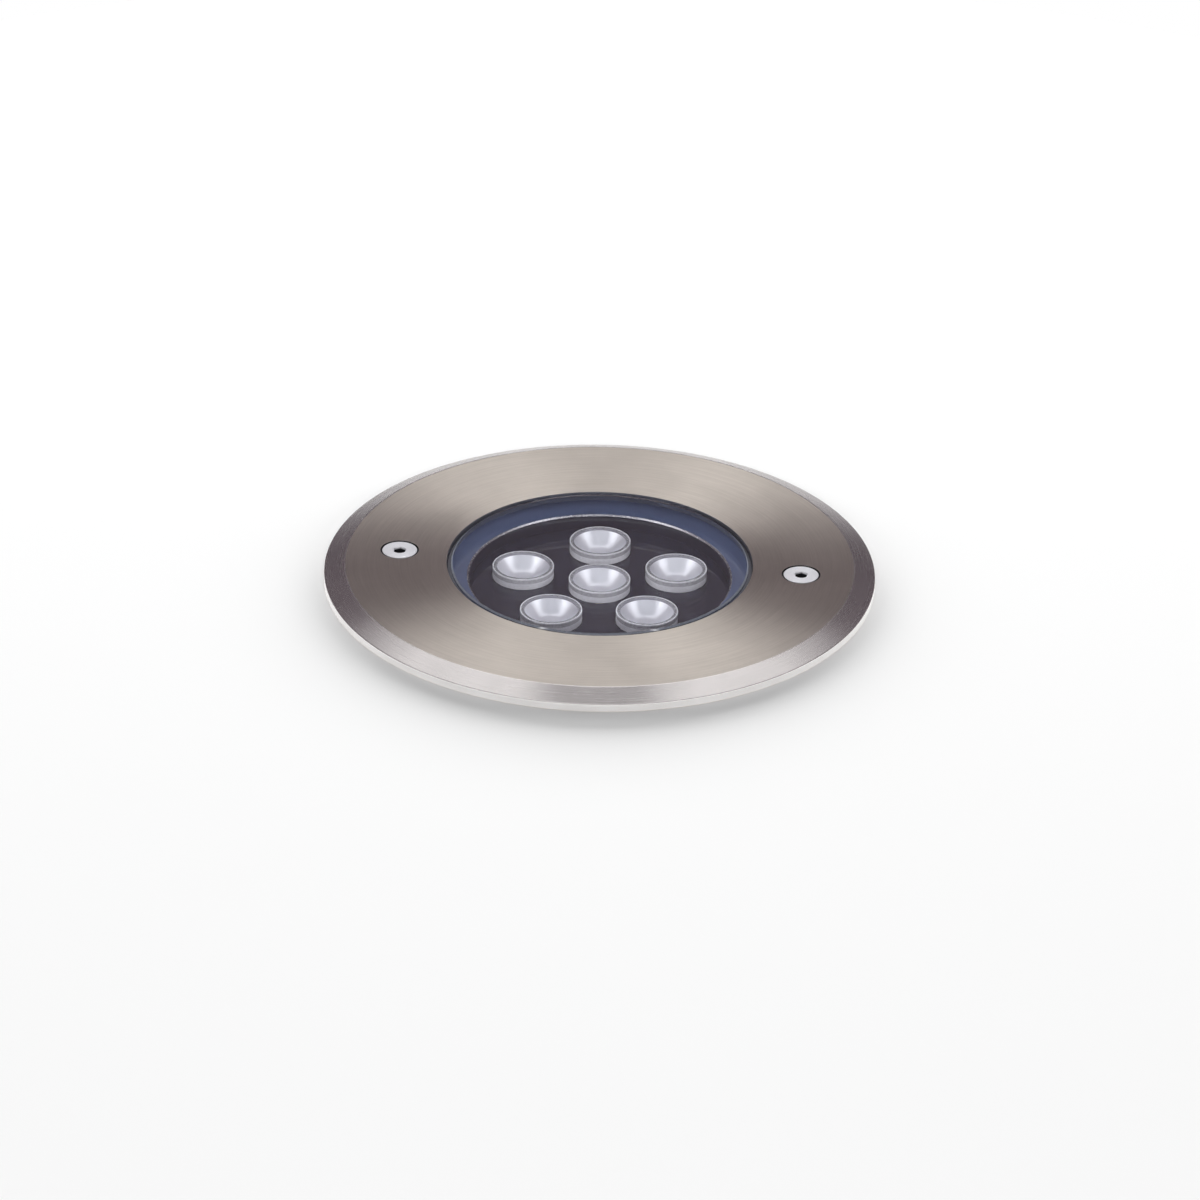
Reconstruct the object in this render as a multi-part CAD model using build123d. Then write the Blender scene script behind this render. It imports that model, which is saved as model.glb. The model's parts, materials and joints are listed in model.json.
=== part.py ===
from build123d import *
import math
import os

# In-ground light. A sealed lamp drops into a sleeve that is set in the ground,
# and two captive screws through the trim ring hold it there.
# Millimetres. +Z is up, Z = 0 is the finished floor that the trim ring lies on,
# and +X points at one of the captive screws.

# Lenses and the plate they stand in
lens_count = 5
lens_turn = 5.4
lens_diameter = 13.4
lens_gap = 4.2
lens_height = 8.8
lens_stand = 2.5
lens_edge = 0.3
lens_lip_width = 0.6
lens_lip_thickness = 1.0
lens_cone_step = 0.9
lens_foot_wall = 0.8
lens_recess_height = 3.0
lens_hole_clearance = 0.2
plate_thickness = 1.5
plate_wall = 1.4
plate_margin = 4.3

# LEDs, their board and the pad under it
led_size = 3.4
led_base_height = 0.7
led_dome_diameter = 3.0
led_clearance = 0.2
board_thickness = 1.6
board_inset = 0.4
board_screw_inset = 3.2
pad_thickness = 0.5
pad_inset = 0.4

# Glass and its two gaskets
glass_thickness = 8.0
glass_recess = 0.5
glass_bevel = 0.8
glass_gap = 0.9
glass_flange_width = 3.4
glass_air_gap = 0.7
upper_gasket_thickness = 1.0
gasket_lip_recess = 0.5
gasket_clearance = 0.05
lower_gasket_thickness = 1.0
lower_gasket_show = 3.8

# Trim ring
ring_thickness = 3.5
rim_height = 1.8
chamfer_width = 4.5
ring_overhang = 8.0
ring_rebate = 0.5
rebate_clearance = 0.4
ring_edge = 0.2
opening_edge = 0.4

# Captive screws that hold the lamp in the sleeve
captive_diameter = 3.9
captive_length = 18.0
captive_head_diameter = 7.7
captive_head_gap = 0.25
captive_head_sink = 0.05
captive_key = 2.5
captive_key_depth = 1.6
captive_travel = 7.0
captive_hole_clearance = 0.3
retainer_diameter = 8.0
retainer_thickness = 1.0
retainer_gap = 0.5
thread_fit = 0.05

# Small pan-head screws inside the lamp
small_diameter = 2.9
small_head_diameter = 5.4
small_head_height = 2.0
small_key = 2.0
small_key_depth = 1.2
small_hole_clearance = 0.25
tapped_spare = 0.6

# Die-cast housing
collar_wall = 2.0
collar_clearance = 0.6
collar_base = 4.0
bore_clearance = 0.2
housing_wall = 3.0
deck_thickness = 6.0
cavity_depth = 33.4
cavity_wall = 6.2
fin_count = 30
fin_thickness = 1.8
fin_inset = 0.6
fin_end = 4.0
lug_count = 4
lug_diameter = 9.0
lug_reach = 3.6
lug_thickness = 6.0
clamp_bite = 1.8

# Driver board and what it carries
driver_clearance = 2.5
driver_thickness = 1.6
driver_drop = 7.4
driver_post_count = 3
driver_post_diameter = 6.0
driver_post_inset = 4.5
driver_screw_length = 6.0
transformer_width = 14.0
transformer_depth = 12.0
transformer_height = 11.0
transformer_core_width = 8.0
transformer_core_wrap = 2.0
transformer_place = (3.0, 4.0)
capacitor_diameter = 6.4
capacitor_height = 12.0
capacitor_edge = 0.6
capacitor_places = ((-10.0, 1.0), (-9.5, 8.4))
terminal_poles = 3
terminal_pitch = 5.0
terminal_depth = 8.0
terminal_height = 11.0
terminal_inset = 4.0
terminal_entry_diameter = 2.8
terminal_entry_depth = 5.0
terminal_screw_diameter = 3.0
terminal_screw_height = 2.4
terminal_slot_width = 0.7
terminal_slot_depth = 0.8

# Wires inside the lamp
lead_diameter = 1.3
lead_spacing = 1.7
lead_bend = 2.2
lead_run = 6.0
lead_inset = 6.6
grommet_wall = 0.8
grommet_bore_clearance = 0.4
grommet_flange_width = 1.2
grommet_flange_thickness = 1.0
grommet_fit = 0.05
earth_post_diameter = 6.4
earth_wall_gap = 0.5
earth_notch_clearance = 0.6
earth_tag_margin = 0.3
earth_tag_thickness = 0.8
earth_bend = 4.0
earth_run = 8.0
earth_screw_length = 6.0

# Back cover and its seal
cover_thickness = 3.0
cover_spigot_height = 4.5
cover_spigot_wall = 3.4
cover_clearance = 0.2
cover_screw_count = 4
cover_screw_length = 9.0
oring_section = 1.6
oring_fit = 0.02
oring_groove_width = 2.2

# Cable gland under the back cover
gland_thread_diameter = 15.8
gland_flats = 20.0
gland_hex_height = 4.0
gland_collar_diameter = 14.8
gland_collar_length = 8.0
gland_seal_wall = 2.2
gland_seal_length = 9.0
gland_cable_bore = 8.0
gland_bore_clearance = 0.6
gland_seal_fit = 0.1
gland_nut_gap = 0.5
gland_nut_wall = 2.0
gland_nut_dome = 3.0
gland_locknut_height = 4.0
gland_oring_thickness = 0.8
gland_oring_width = 1.6
gland_thread_spare = 1.0

# Sleeve set in the ground
sleeve_wall = 2.5
boss_wall = 2.18
boss_clearance = 0.5
boss_wall_gap = 0.6
boss_height = 16.0
boss_web_width = 8.0
insert_wall = 0.8
insert_length = 8.0
insert_fit = 0.02
cable_room = 22.2
sleeve_foot_width = 12.0
sleeve_foot_thickness = 2.5
notch_width = 22.0
notch_height = 20.0
groove_count = 3
groove_pitch = 18.0
groove_width = 3.0
groove_depth = 0.8
sleeve_lead_in = 1.2
sleeve_top_edge = 0.4

# Radii from the lenses outwards
lens_r = lens_diameter / 2
lens_circle_r = lens_diameter + lens_gap
window_r = lens_circle_r + lens_r + plate_margin
glass_r = window_r + lower_gasket_show
opening_r = glass_r + glass_gap
flange_r = glass_r + glass_flange_width
collar_inner_r = flange_r + collar_clearance
collar_r = collar_inner_r + collar_wall
captive_r = captive_diameter / 2
insert_bore_r = captive_r + thread_fit
insert_r = insert_bore_r + insert_wall
boss_r = insert_r + insert_fit + boss_wall
captive_circle_r = collar_r + boss_clearance + boss_r
sleeve_inner_r = captive_circle_r + boss_r + boss_wall_gap
sleeve_r = sleeve_inner_r + sleeve_wall
ring_r = sleeve_r + ring_overhang
plate_r = window_r + plate_wall
bore_r = plate_r + bore_clearance
core_r = bore_r + housing_wall
cavity_r = core_r - cavity_wall
small_r = small_diameter / 2
small_head_r = small_head_diameter / 2
tapped_r = small_r + thread_fit
clearance_r = small_r + small_hole_clearance
board_r = plate_r - board_inset
board_screw_r = window_r - board_screw_inset
lug_circle_r = collar_r + lug_reach
driver_r = cavity_r - driver_clearance
driver_post_r = driver_r - driver_post_inset
earth_tag_r = earth_post_diameter / 2 + earth_tag_margin
lead_r = window_r - lead_inset
lead_pair_r = lead_spacing / 2 + lead_diameter / 2
grommet_bore_r = lead_pair_r + grommet_bore_clearance
grommet_r = grommet_bore_r + grommet_wall
lead_hole_r = grommet_r + grommet_fit
cover_screw_r = (cavity_r + core_r) / 2
spigot_r = cavity_r - cover_clearance
gland_bore_r = gland_cable_bore / 2 + gland_bore_clearance
gland_thread_r = gland_thread_diameter / 2

# Levels from the trim ring downwards
ring_under = ring_rebate
glass_top = ring_thickness - glass_recess
glass_bottom = glass_top - glass_thickness
glass_step = ring_under - upper_gasket_thickness
seat = glass_bottom - lower_gasket_thickness
lens_top = glass_bottom - glass_air_gap
plate_top = lens_top - lens_stand
plate_bottom = plate_top - plate_thickness
board_top = lens_top - lens_height
board_bottom = board_top - board_thickness
deck_top = board_bottom - pad_thickness
deck_bottom = deck_top - deck_thickness
housing_bottom = deck_bottom - cavity_depth
collar_bottom = seat - collar_base
lug_bottom = ring_under - lug_thickness
driver_top = deck_bottom - driver_drop
driver_bottom = driver_top - driver_thickness
earth_level = driver_bottom - terminal_height / 2
cover_bottom = housing_bottom - cover_thickness
spigot_top = housing_bottom + cover_spigot_height
gland_hex_top = cover_bottom - gland_oring_thickness
gland_hex_bottom = gland_hex_top - gland_hex_height
gland_collar_bottom = gland_hex_bottom - gland_collar_length
gland_seal_bottom = gland_collar_bottom - gland_nut_gap
gland_bottom = gland_seal_bottom - gland_nut_wall
boss_top = ring_under - captive_travel - retainer_thickness - 2 * retainer_gap
captive_head_top = ring_thickness - captive_head_sink
sleeve_bottom = gland_bottom - cable_room

# Angles round the lamp
first_lens_angle = 90 + lens_turn
lens_step = 360 / lens_count
lead_angle = first_lens_angle + lens_step / 2
board_screw_angles = [lead_angle + lens_step * i for i in range(1, lens_count)]
lug_angles = [45 + 360 / lug_count * i for i in range(lug_count)]
driver_post_angles = [90 + 360 / driver_post_count * i for i in range(driver_post_count)]
cover_screw_angles = [45 + 360 / cover_screw_count * i for i in range(cover_screw_count)]
captive_places = {"left": (-captive_circle_r, 0), "right": (captive_circle_r, 0)}


def on_circle(radius, angle):
    """The point at an angle in degrees on a circle about the lamp's axis."""
    turn = math.radians(angle)
    return radius * math.cos(turn), radius * math.sin(turn)


def at(place, level=0.0):
    """A move to a place in plan, at a level."""
    return Pos(place[0], place[1], level)


def disc(radius, low, high):
    """A round solid about the Z axis between two levels."""
    return Pos(0, 0, low) * Cylinder(radius, high - low, align=(Align.CENTER, Align.CENTER, Align.MIN))


def tube(outer, inner, low, high):
    """A round tube about the Z axis between two levels."""
    return disc(outer, low, high) - disc(inner, low, high)


def block(width, depth, low, high):
    """A box about the Z axis between two levels."""
    return Pos(0, 0, low) * Box(width, depth, high - low, align=(Align.CENTER, Align.CENTER, Align.MIN))


def hexagon(flats, low, high):
    """A hexagonal bar about the Z axis between two levels."""
    outline = RegularPolygon(flats / 2, 6, major_radius=False)
    return Pos(0, 0, low) * extrude(outline, high - low)


def turned(*profile):
    """A solid turned about the Z axis from a closed profile of radius and level."""
    outline = Polyline([(radius, 0, level) for radius, level in profile], close=True)
    return revolve(make_face(outline), Axis.Z)


def wire(diameter, radius, *points):
    """A round wire along straight runs joined by arcs."""
    path = FilletPolyline(*points, radius=radius)
    return sweep(Plane(origin=path @ 0, z_dir=path % 0) * Circle(diameter / 2), path=path)


def small_screw(length):
    """A pan-head screw with its head up and its seat at level zero."""
    head = disc(small_head_r, 0, small_head_height)
    socket = hexagon(small_key, small_head_height - small_key_depth, small_head_height)
    return head - socket + disc(small_r, -length, 0)


def group(pieces):
    """Separate solids kept together as one node."""
    return Compound([piece.solid() for piece in pieces])


def ring_edges(shape, level):
    """The circular edges of a shape at a level, the smallest first."""
    edges = shape.edges().filter_by(GeomType.CIRCLE)
    here = [edge for edge in edges if abs(edge.center().Z - level) < ring_edge / 2]
    return sorted(here, key=lambda edge: edge.radius)


def make_trim_ring():
    """The turned steel ring, with its screw holes and the rebate that sits on the sleeve."""
    rebate_r = sleeve_r + rebate_clearance
    ring = turned(
        (opening_r, ring_under),
        (rebate_r, ring_under),
        (rebate_r, 0),
        (ring_r, 0),
        (ring_r, rim_height),
        (ring_r - chamfer_width, ring_thickness),
        (opening_r, ring_thickness),
    )
    ring = fillet(ring_edges(ring, ring_thickness)[:1], opening_edge)
    ring = fillet(ring_edges(ring, ring_thickness)[-1:] + ring_edges(ring, rim_height), ring_edge)
    sink_r = captive_head_diameter / 2 + captive_head_gap
    hole_r = captive_r + captive_hole_clearance
    sink = turned(
        (0, 0),
        (hole_r, 0),
        (hole_r, ring_thickness - sink_r + hole_r),
        (sink_r, ring_thickness),
        (0, ring_thickness),
    )
    tapped = disc(tapped_r, ring_under, ring_under + clamp_bite + tapped_spare)
    holes = [at(place) * sink for place in captive_places.values()]
    holes += [at(on_circle(lug_circle_r, angle)) * tapped for angle in lug_angles]
    return ring - holes


def make_captive_screw(place):
    """A countersunk screw with a hexagon socket, flush in the trim ring."""
    head_r = captive_head_diameter / 2
    screw = turned(
        (0, captive_head_top - captive_length),
        (captive_r, captive_head_top - captive_length),
        (captive_r, captive_head_top - head_r + captive_r),
        (head_r, captive_head_top),
        (0, captive_head_top),
    )
    socket = hexagon(captive_key, captive_head_top - captive_key_depth, captive_head_top)
    return at(place) * (screw - socket)


def make_screw_retainer(place):
    """The washer on a captive screw's shank that keeps it with the lamp."""
    low = boss_top + retainer_gap
    return at(place) * tube(retainer_diameter / 2, insert_bore_r, low, low + retainer_thickness)


def make_glass():
    """The stepped glass: a boss in the ring's opening on a wider clamped flange."""
    return turned(
        (0, glass_bottom),
        (flange_r, glass_bottom),
        (flange_r, glass_step),
        (glass_r, glass_step),
        (glass_r, glass_top - glass_bevel),
        (glass_r - glass_bevel, glass_top),
        (0, glass_top),
    )


def make_upper_gasket():
    """The black gasket over the glass flange, with a lip in the gap round the boss."""
    inner = glass_r + gasket_clearance
    lip = opening_r - gasket_clearance
    lip_top = glass_top - gasket_lip_recess
    return turned(
        (inner, glass_step),
        (flange_r, glass_step),
        (flange_r, ring_under),
        (lip, ring_under),
        (lip, lip_top),
        (inner, lip_top),
    )


def make_lower_gasket():
    """The grey gasket between the glass and the housing's seat."""
    return tube(flange_r, window_r, seat, glass_bottom)


def lens_places():
    """The centre lens and the lenses on the circle, by name."""
    places = {"centre": (0, 0)}
    for i in range(lens_count):
        places[str(i + 1)] = on_circle(lens_circle_r, first_lens_angle + lens_step * i)
    return places


def make_lens_plate():
    """The black cup whose floor the lenses stand through."""
    cup = tube(plate_r, window_r, board_top, seat) + disc(plate_r, plate_bottom, plate_top)
    hole = disc(lens_r + lens_hole_clearance, plate_bottom, plate_top)
    return cup - [at(place) * hole for place in lens_places().values()]


def make_lens(place):
    """A flat-topped collimator lens, with a lip under the plate and a recess for its LED."""
    recess_r = led_size / math.sqrt(2) + led_clearance
    lip_bottom = plate_bottom - lens_lip_thickness
    recess_top = board_top + lens_recess_height
    return at(place) * turned(
        (0, lens_top),
        (lens_r - lens_edge, lens_top),
        (lens_r, lens_top - lens_edge),
        (lens_r, plate_bottom),
        (lens_r + lens_lip_width, plate_bottom),
        (lens_r + lens_lip_width, lip_bottom),
        (lens_r - lens_cone_step, lip_bottom),
        (recess_r + lens_foot_wall, board_top),
        (recess_r, board_top),
        (recess_r, recess_top),
        (0, recess_top),
    )


def make_led(place):
    """An LED: a square base with a domed window."""
    base_top = board_top + led_base_height
    dome = Pos(0, 0, base_top) * Sphere(led_dome_diameter / 2)
    base = block(led_size, led_size, board_top, base_top)
    return at(place) * (base + (dome - disc(led_size, board_top - led_size, base_top)))


def lead_hole(low, high):
    """The hole that the LED leads come up through."""
    return at(on_circle(lead_r, lead_angle)) * disc(lead_hole_r, low, high)


def board_screw_holes(radius, low, high):
    """Holes for the screws that hold the LED board."""
    hole = disc(radius, low, high)
    return [at(on_circle(board_screw_r, angle)) * hole for angle in board_screw_angles]


def make_led_board():
    """The metal-core board that carries the LEDs."""
    board = disc(board_r, board_bottom, board_top)
    return board - board_screw_holes(clearance_r, board_bottom, board_top) - lead_hole(board_bottom, board_top)


def make_thermal_pad():
    """The soft pad that takes heat from the board into the housing."""
    pad = disc(board_r - pad_inset, deck_top, board_bottom)
    return pad - board_screw_holes(clearance_r, deck_top, board_bottom) - lead_hole(deck_top, board_bottom)


def make_board_screws():
    """The screws that hold the LED board down."""
    length = board_top - deck_top + deck_thickness / 2
    screw = Pos(0, 0, board_top) * small_screw(length)
    return group(at(on_circle(board_screw_r, angle)) * screw for angle in board_screw_angles)


def housing_body():
    """The housing's outer form: collar, finned core and clamp lugs."""
    body = disc(collar_r, collar_bottom, ring_under) + disc(core_r, housing_bottom, collar_bottom)
    fin_r = collar_r - fin_inset
    fin_low = housing_bottom + fin_end
    depth = fin_r - core_r + housing_wall / 2
    fin = Pos(fin_r - depth / 2, 0, 0) * block(depth, fin_thickness, fin_low, collar_bottom)
    body += [Rot(0, 0, 360 / fin_count * i) * fin for i in range(fin_count)]
    reach = lug_circle_r - collar_r + collar_wall
    arm = Pos(lug_circle_r - reach / 2, 0, 0) * block(reach, lug_diameter, lug_bottom, ring_under)
    lug = arm + at((lug_circle_r, 0)) * disc(lug_diameter / 2, lug_bottom, ring_under)
    return body + [Rot(0, 0, angle) * lug for angle in lug_angles]


def earth_place():
    """Where the earth post stands, with room for its tag inside the cavity's wall."""
    return cavity_r - earth_wall_gap - earth_tag_r, 0


def make_housing():
    """The die-cast housing: lamp chamber over a deck, driver cavity under it."""
    body = housing_body() - disc(collar_inner_r, seat, ring_under) - disc(bore_r, deck_top, seat)
    body -= disc(cavity_r, housing_bottom, deck_bottom)
    post = disc(driver_post_diameter / 2, driver_top, deck_bottom)
    body += [at(on_circle(driver_post_r, angle)) * post for angle in driver_post_angles]
    tag_top = earth_level + earth_tag_thickness / 2
    body += at(earth_place()) * disc(earth_post_diameter / 2, tag_top, deck_bottom)
    body -= lead_hole(deck_bottom, deck_top)
    board_hole = deck_thickness / 2 + tapped_spare
    body -= board_screw_holes(tapped_r, deck_top - board_hole, deck_top)
    post_hole = disc(tapped_r, driver_top, driver_bottom + driver_screw_length + tapped_spare)
    body -= [at(on_circle(driver_post_r, angle)) * post_hole for angle in driver_post_angles]
    earth_hole = earth_screw_length - earth_tag_thickness + tapped_spare
    body -= at(earth_place()) * disc(tapped_r, tag_top, tag_top + earth_hole)
    cover_hole = disc(tapped_r, housing_bottom, cover_bottom + cover_screw_length + tapped_spare)
    body -= [at(on_circle(cover_screw_r, angle)) * cover_hole for angle in cover_screw_angles]
    clamp_hole = disc(clearance_r, lug_bottom, ring_under)
    return body - [at(on_circle(lug_circle_r, angle)) * clamp_hole for angle in lug_angles]


def make_clamp_screws():
    """The screws that pull the housing up to the trim ring and squeeze the gaskets."""
    screw = Pos(0, 0, lug_bottom) * Rot(180, 0, 0) * small_screw(lug_thickness + clamp_bite)
    return group(at(on_circle(lug_circle_r, angle)) * screw for angle in lug_angles)


def make_driver_board():
    """The round circuit board that feeds the LEDs."""
    board = disc(driver_r, driver_bottom, driver_top)
    hole = disc(clearance_r, driver_bottom, driver_top)
    board -= [at(on_circle(driver_post_r, angle)) * hole for angle in driver_post_angles]
    notch = disc(earth_post_diameter / 2 + earth_notch_clearance, driver_bottom, driver_top)
    return board - at(earth_place()) * notch


def make_driver_screws():
    """The screws that hold the driver board to its posts."""
    screw = Pos(0, 0, driver_bottom) * Rot(180, 0, 0) * small_screw(driver_screw_length)
    return group(at(on_circle(driver_post_r, angle)) * screw for angle in driver_post_angles)


def make_driver_transformer():
    """The driver's transformer: a wound bobbin with a core round it."""
    bottom = driver_bottom - transformer_height
    bobbin = block(transformer_width, transformer_depth, bottom, driver_bottom)
    core_depth = transformer_depth + 2 * transformer_core_wrap
    core_low = bottom - transformer_core_wrap
    core = block(transformer_core_width, core_depth, core_low, driver_bottom)
    return at(transformer_place) * (bobbin + core)


def make_driver_capacitors():
    """The driver's two can capacitors."""
    can = disc(capacitor_diameter / 2, driver_bottom - capacitor_height, driver_bottom)
    can = fillet(ring_edges(can, driver_bottom - capacitor_height), capacitor_edge)
    return group(at(place) * can for place in capacitor_places)


def terminal_centre():
    """The terminal block's centre along Y, near the board's edge."""
    return -(driver_r - terminal_inset - terminal_depth / 2)


def terminal_offsets():
    """The poles' places along X."""
    middle = (terminal_poles - 1) / 2
    return [(i - middle) * terminal_pitch for i in range(terminal_poles)]


def make_terminal_block():
    """The block where the supply cable's cores are clamped."""
    width = terminal_poles * terminal_pitch
    bottom = driver_bottom - terminal_height
    body = block(width, terminal_depth, bottom, driver_bottom)
    pocket = disc(terminal_screw_diameter / 2 + thread_fit, bottom, bottom + terminal_screw_height)
    entry = Pos(0, -terminal_depth / 2, earth_level) * Rot(-90, 0, 0)
    entry *= disc(terminal_entry_diameter / 2, 0, terminal_entry_depth)
    body -= [Pos(x, 0, 0) * cut for x in terminal_offsets() for cut in (pocket, entry)]
    return Pos(0, terminal_centre(), 0) * body


def make_terminal_screws():
    """The slotted screws of the terminal block."""
    bottom = driver_bottom - terminal_height
    screw = disc(terminal_screw_diameter / 2, bottom, bottom + terminal_screw_height)
    screw -= block(terminal_screw_diameter, terminal_slot_width, bottom, bottom + terminal_slot_depth)
    return group(Pos(x, terminal_centre(), 0) * screw for x in terminal_offsets())


def make_led_lead(side):
    """One of the two leads from the driver board up to the LED board."""
    rest = board_top + lead_diameter / 2
    lead = wire(
        lead_diameter,
        lead_bend,
        (lead_r, side * lead_spacing / 2, driver_top),
        (lead_r, side * lead_spacing / 2, rest),
        (lead_r - lead_run, side * lead_spacing / 2, rest),
    )
    return Rot(0, 0, lead_angle) * lead


def make_lead_grommet():
    """The rubber grommet that guards the leads in the deck."""
    low = deck_bottom - grommet_flange_thickness
    body = disc(grommet_r, low, deck_top) + disc(grommet_r + grommet_flange_width, low, deck_bottom)
    return at(on_circle(lead_r, lead_angle)) * (body - disc(grommet_bore_r, low, deck_top))


def make_earth_lead():
    """The earth lead from the terminal block to a ring tag on the earth post."""
    post_x, post_y = earth_place()
    start_x = terminal_poles * terminal_pitch / 2
    lead = wire(
        lead_diameter,
        earth_bend,
        (start_x, terminal_centre(), earth_level),
        (start_x + earth_run, terminal_centre(), earth_level),
        (post_x, post_y, earth_level),
    )
    low = earth_level - earth_tag_thickness / 2
    high = earth_level + earth_tag_thickness / 2
    seat_room = disc(earth_tag_r, low - lead_diameter, high + lead_diameter)
    tag = tube(earth_tag_r, clearance_r, low, high)
    return lead - at(earth_place()) * seat_room + at(earth_place()) * tag


def make_earth_screw():
    """The screw that holds the earth tag to the housing."""
    low = earth_level - earth_tag_thickness / 2
    return at(earth_place(), low) * Rot(180, 0, 0) * small_screw(earth_screw_length)


def make_back_cover():
    """The cover that closes the driver cavity, with its sealing spigot and gland hole."""
    groove_r = cavity_r - oring_section - 2 * oring_fit
    groove_low = (housing_bottom + spigot_top - oring_groove_width) / 2
    cover = disc(core_r, cover_bottom, housing_bottom)
    cover += tube(spigot_r, groove_r - cover_spigot_wall, housing_bottom, spigot_top)
    cover -= tube(core_r, groove_r, groove_low, groove_low + oring_groove_width)
    cover -= disc(gland_thread_r + thread_fit, cover_bottom, housing_bottom)
    hole = disc(clearance_r, cover_bottom, housing_bottom)
    return cover - [at(on_circle(cover_screw_r, angle)) * hole for angle in cover_screw_angles]


def make_cover_oring():
    """The round-section seal on the cover's spigot."""
    middle = (housing_bottom + spigot_top) / 2
    ring_centre = cavity_r - oring_fit - oring_section / 2
    return Pos(0, 0, middle) * Torus(ring_centre, oring_section / 2)


def make_cover_screws():
    """The screws that hold the back cover."""
    screw = Pos(0, 0, cover_bottom) * Rot(180, 0, 0) * small_screw(cover_screw_length)
    return group(at(on_circle(cover_screw_r, angle)) * screw for angle in cover_screw_angles)


def make_gland_body():
    """The gland's body: thread up through the cover, hexagon, and collar for the nut."""
    thread_top = housing_bottom + gland_locknut_height + gland_thread_spare
    seal_r = gland_cable_bore / 2 + gland_seal_wall + gland_seal_fit
    seal_top = gland_seal_bottom + gland_seal_length
    body = disc(gland_thread_r, gland_hex_top, thread_top)
    body += hexagon(gland_flats, gland_hex_bottom, gland_hex_top)
    body += disc(gland_collar_diameter / 2, gland_collar_bottom, gland_hex_bottom)
    body -= disc(gland_bore_r, gland_collar_bottom, thread_top)
    return body - disc(seal_r, gland_collar_bottom, seal_top)


def make_gland_oring():
    """The flat seal between the gland and the cover."""
    inner = gland_thread_r + thread_fit
    return tube(inner + gland_oring_width, inner, gland_hex_top, cover_bottom)


def make_gland_seal():
    """The rubber seal that closes on the cable."""
    cable_r = gland_cable_bore / 2
    return tube(cable_r + gland_seal_wall, cable_r, gland_seal_bottom, gland_seal_bottom + gland_seal_length)


def make_gland_nut():
    """The domed nut that squeezes the seal."""
    top = gland_hex_bottom - gland_nut_gap
    nut = hexagon(gland_flats, gland_bottom + gland_nut_dome, top)
    nut += turned(
        (0, gland_bottom),
        (gland_collar_diameter / 2, gland_bottom),
        (gland_flats / 2, gland_bottom + gland_nut_dome),
        (0, gland_bottom + gland_nut_dome),
    )
    nut -= disc(gland_collar_diameter / 2 + thread_fit, gland_seal_bottom, top)
    return nut - disc(gland_bore_r, gland_bottom, top)


def make_gland_locknut():
    """The nut that holds the gland from inside the cavity."""
    nut = hexagon(gland_flats, housing_bottom, housing_bottom + gland_locknut_height)
    return nut - disc(gland_thread_r + thread_fit, housing_bottom, housing_bottom + gland_locknut_height)


def cable_notches():
    """The arched way through the foot of the sleeve, from front to back."""
    spring = sleeve_bottom + notch_height - notch_width / 2
    crown = Pos(0, 0, spring) * Rot(90, 0, 0) * disc(notch_width / 2, -ring_r, ring_r)
    return crown + block(notch_width, 2 * ring_r, sleeve_bottom, spring)


def make_sleeve():
    """The open-bottomed sleeve, with screw bosses inside and a cable notch at the front and back."""
    sleeve = tube(sleeve_r, sleeve_inner_r, sleeve_bottom, ring_under)
    sleeve = chamfer(ring_edges(sleeve, sleeve_bottom)[-1:], sleeve_lead_in)
    sleeve = chamfer(ring_edges(sleeve, ring_under)[-1:], sleeve_top_edge)
    foot_r = sleeve_r - sleeve_foot_width
    sleeve += tube(sleeve_inner_r, foot_r, sleeve_bottom, sleeve_bottom + sleeve_foot_thickness)
    boss_bottom = boss_top - boss_height
    reach = sleeve_inner_r + sleeve_wall / 2 - captive_circle_r
    web = Pos(captive_circle_r + reach / 2, 0, 0) * block(reach, boss_web_width, boss_bottom, boss_top)
    boss = web + at((captive_circle_r, 0)) * disc(boss_r, boss_bottom, boss_top)
    boss -= at((captive_circle_r, 0)) * disc(insert_r + insert_fit, boss_top - insert_length, boss_top)
    sleeve += [boss, Rot(0, 0, 180) * boss]
    groove = tube(ring_r, sleeve_r - groove_depth, -groove_width / 2, groove_width / 2)
    grooves = [Pos(0, 0, boss_top - groove_pitch * (i + 1)) * groove for i in range(groove_count)]
    return sleeve - cable_notches() - grooves


def make_sleeve_inserts():
    """The brass inserts that the captive screws go into."""
    insert = tube(insert_r, insert_bore_r, boss_top - insert_length, boss_top)
    return group(at(place) * insert for place in captive_places.values())


def make_nodes():
    """Every piece of the light, by name."""
    nodes = {
        "sleeve": make_sleeve(),
        "sleeve_inserts": make_sleeve_inserts(),
        "trim_ring": make_trim_ring(),
        "glass": make_glass(),
        "upper_gasket": make_upper_gasket(),
        "lower_gasket": make_lower_gasket(),
        "lens_plate": make_lens_plate(),
        "led_board": make_led_board(),
        "thermal_pad": make_thermal_pad(),
        "board_screws": make_board_screws(),
        "housing": make_housing(),
        "clamp_screws": make_clamp_screws(),
        "driver_board": make_driver_board(),
        "driver_screws": make_driver_screws(),
        "driver_transformer": make_driver_transformer(),
        "driver_capacitors": make_driver_capacitors(),
        "terminal_block": make_terminal_block(),
        "terminal_screws": make_terminal_screws(),
        "led_lead_positive": make_led_lead(1),
        "led_lead_negative": make_led_lead(-1),
        "lead_grommet": make_lead_grommet(),
        "earth_lead": make_earth_lead(),
        "earth_screw": make_earth_screw(),
        "back_cover": make_back_cover(),
        "cover_oring": make_cover_oring(),
        "cover_screws": make_cover_screws(),
        "gland_body": make_gland_body(),
        "gland_oring": make_gland_oring(),
        "gland_seal": make_gland_seal(),
        "gland_nut": make_gland_nut(),
        "gland_locknut": make_gland_locknut(),
    }
    for name, place in lens_places().items():
        nodes["lens_" + name] = make_lens(place)
        nodes["led_" + name] = make_led(place)
    for side, place in captive_places.items():
        nodes["captive_screw_" + side] = make_captive_screw(place)
        nodes["screw_retainer_" + side] = make_screw_retainer(place)
    return nodes


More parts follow.
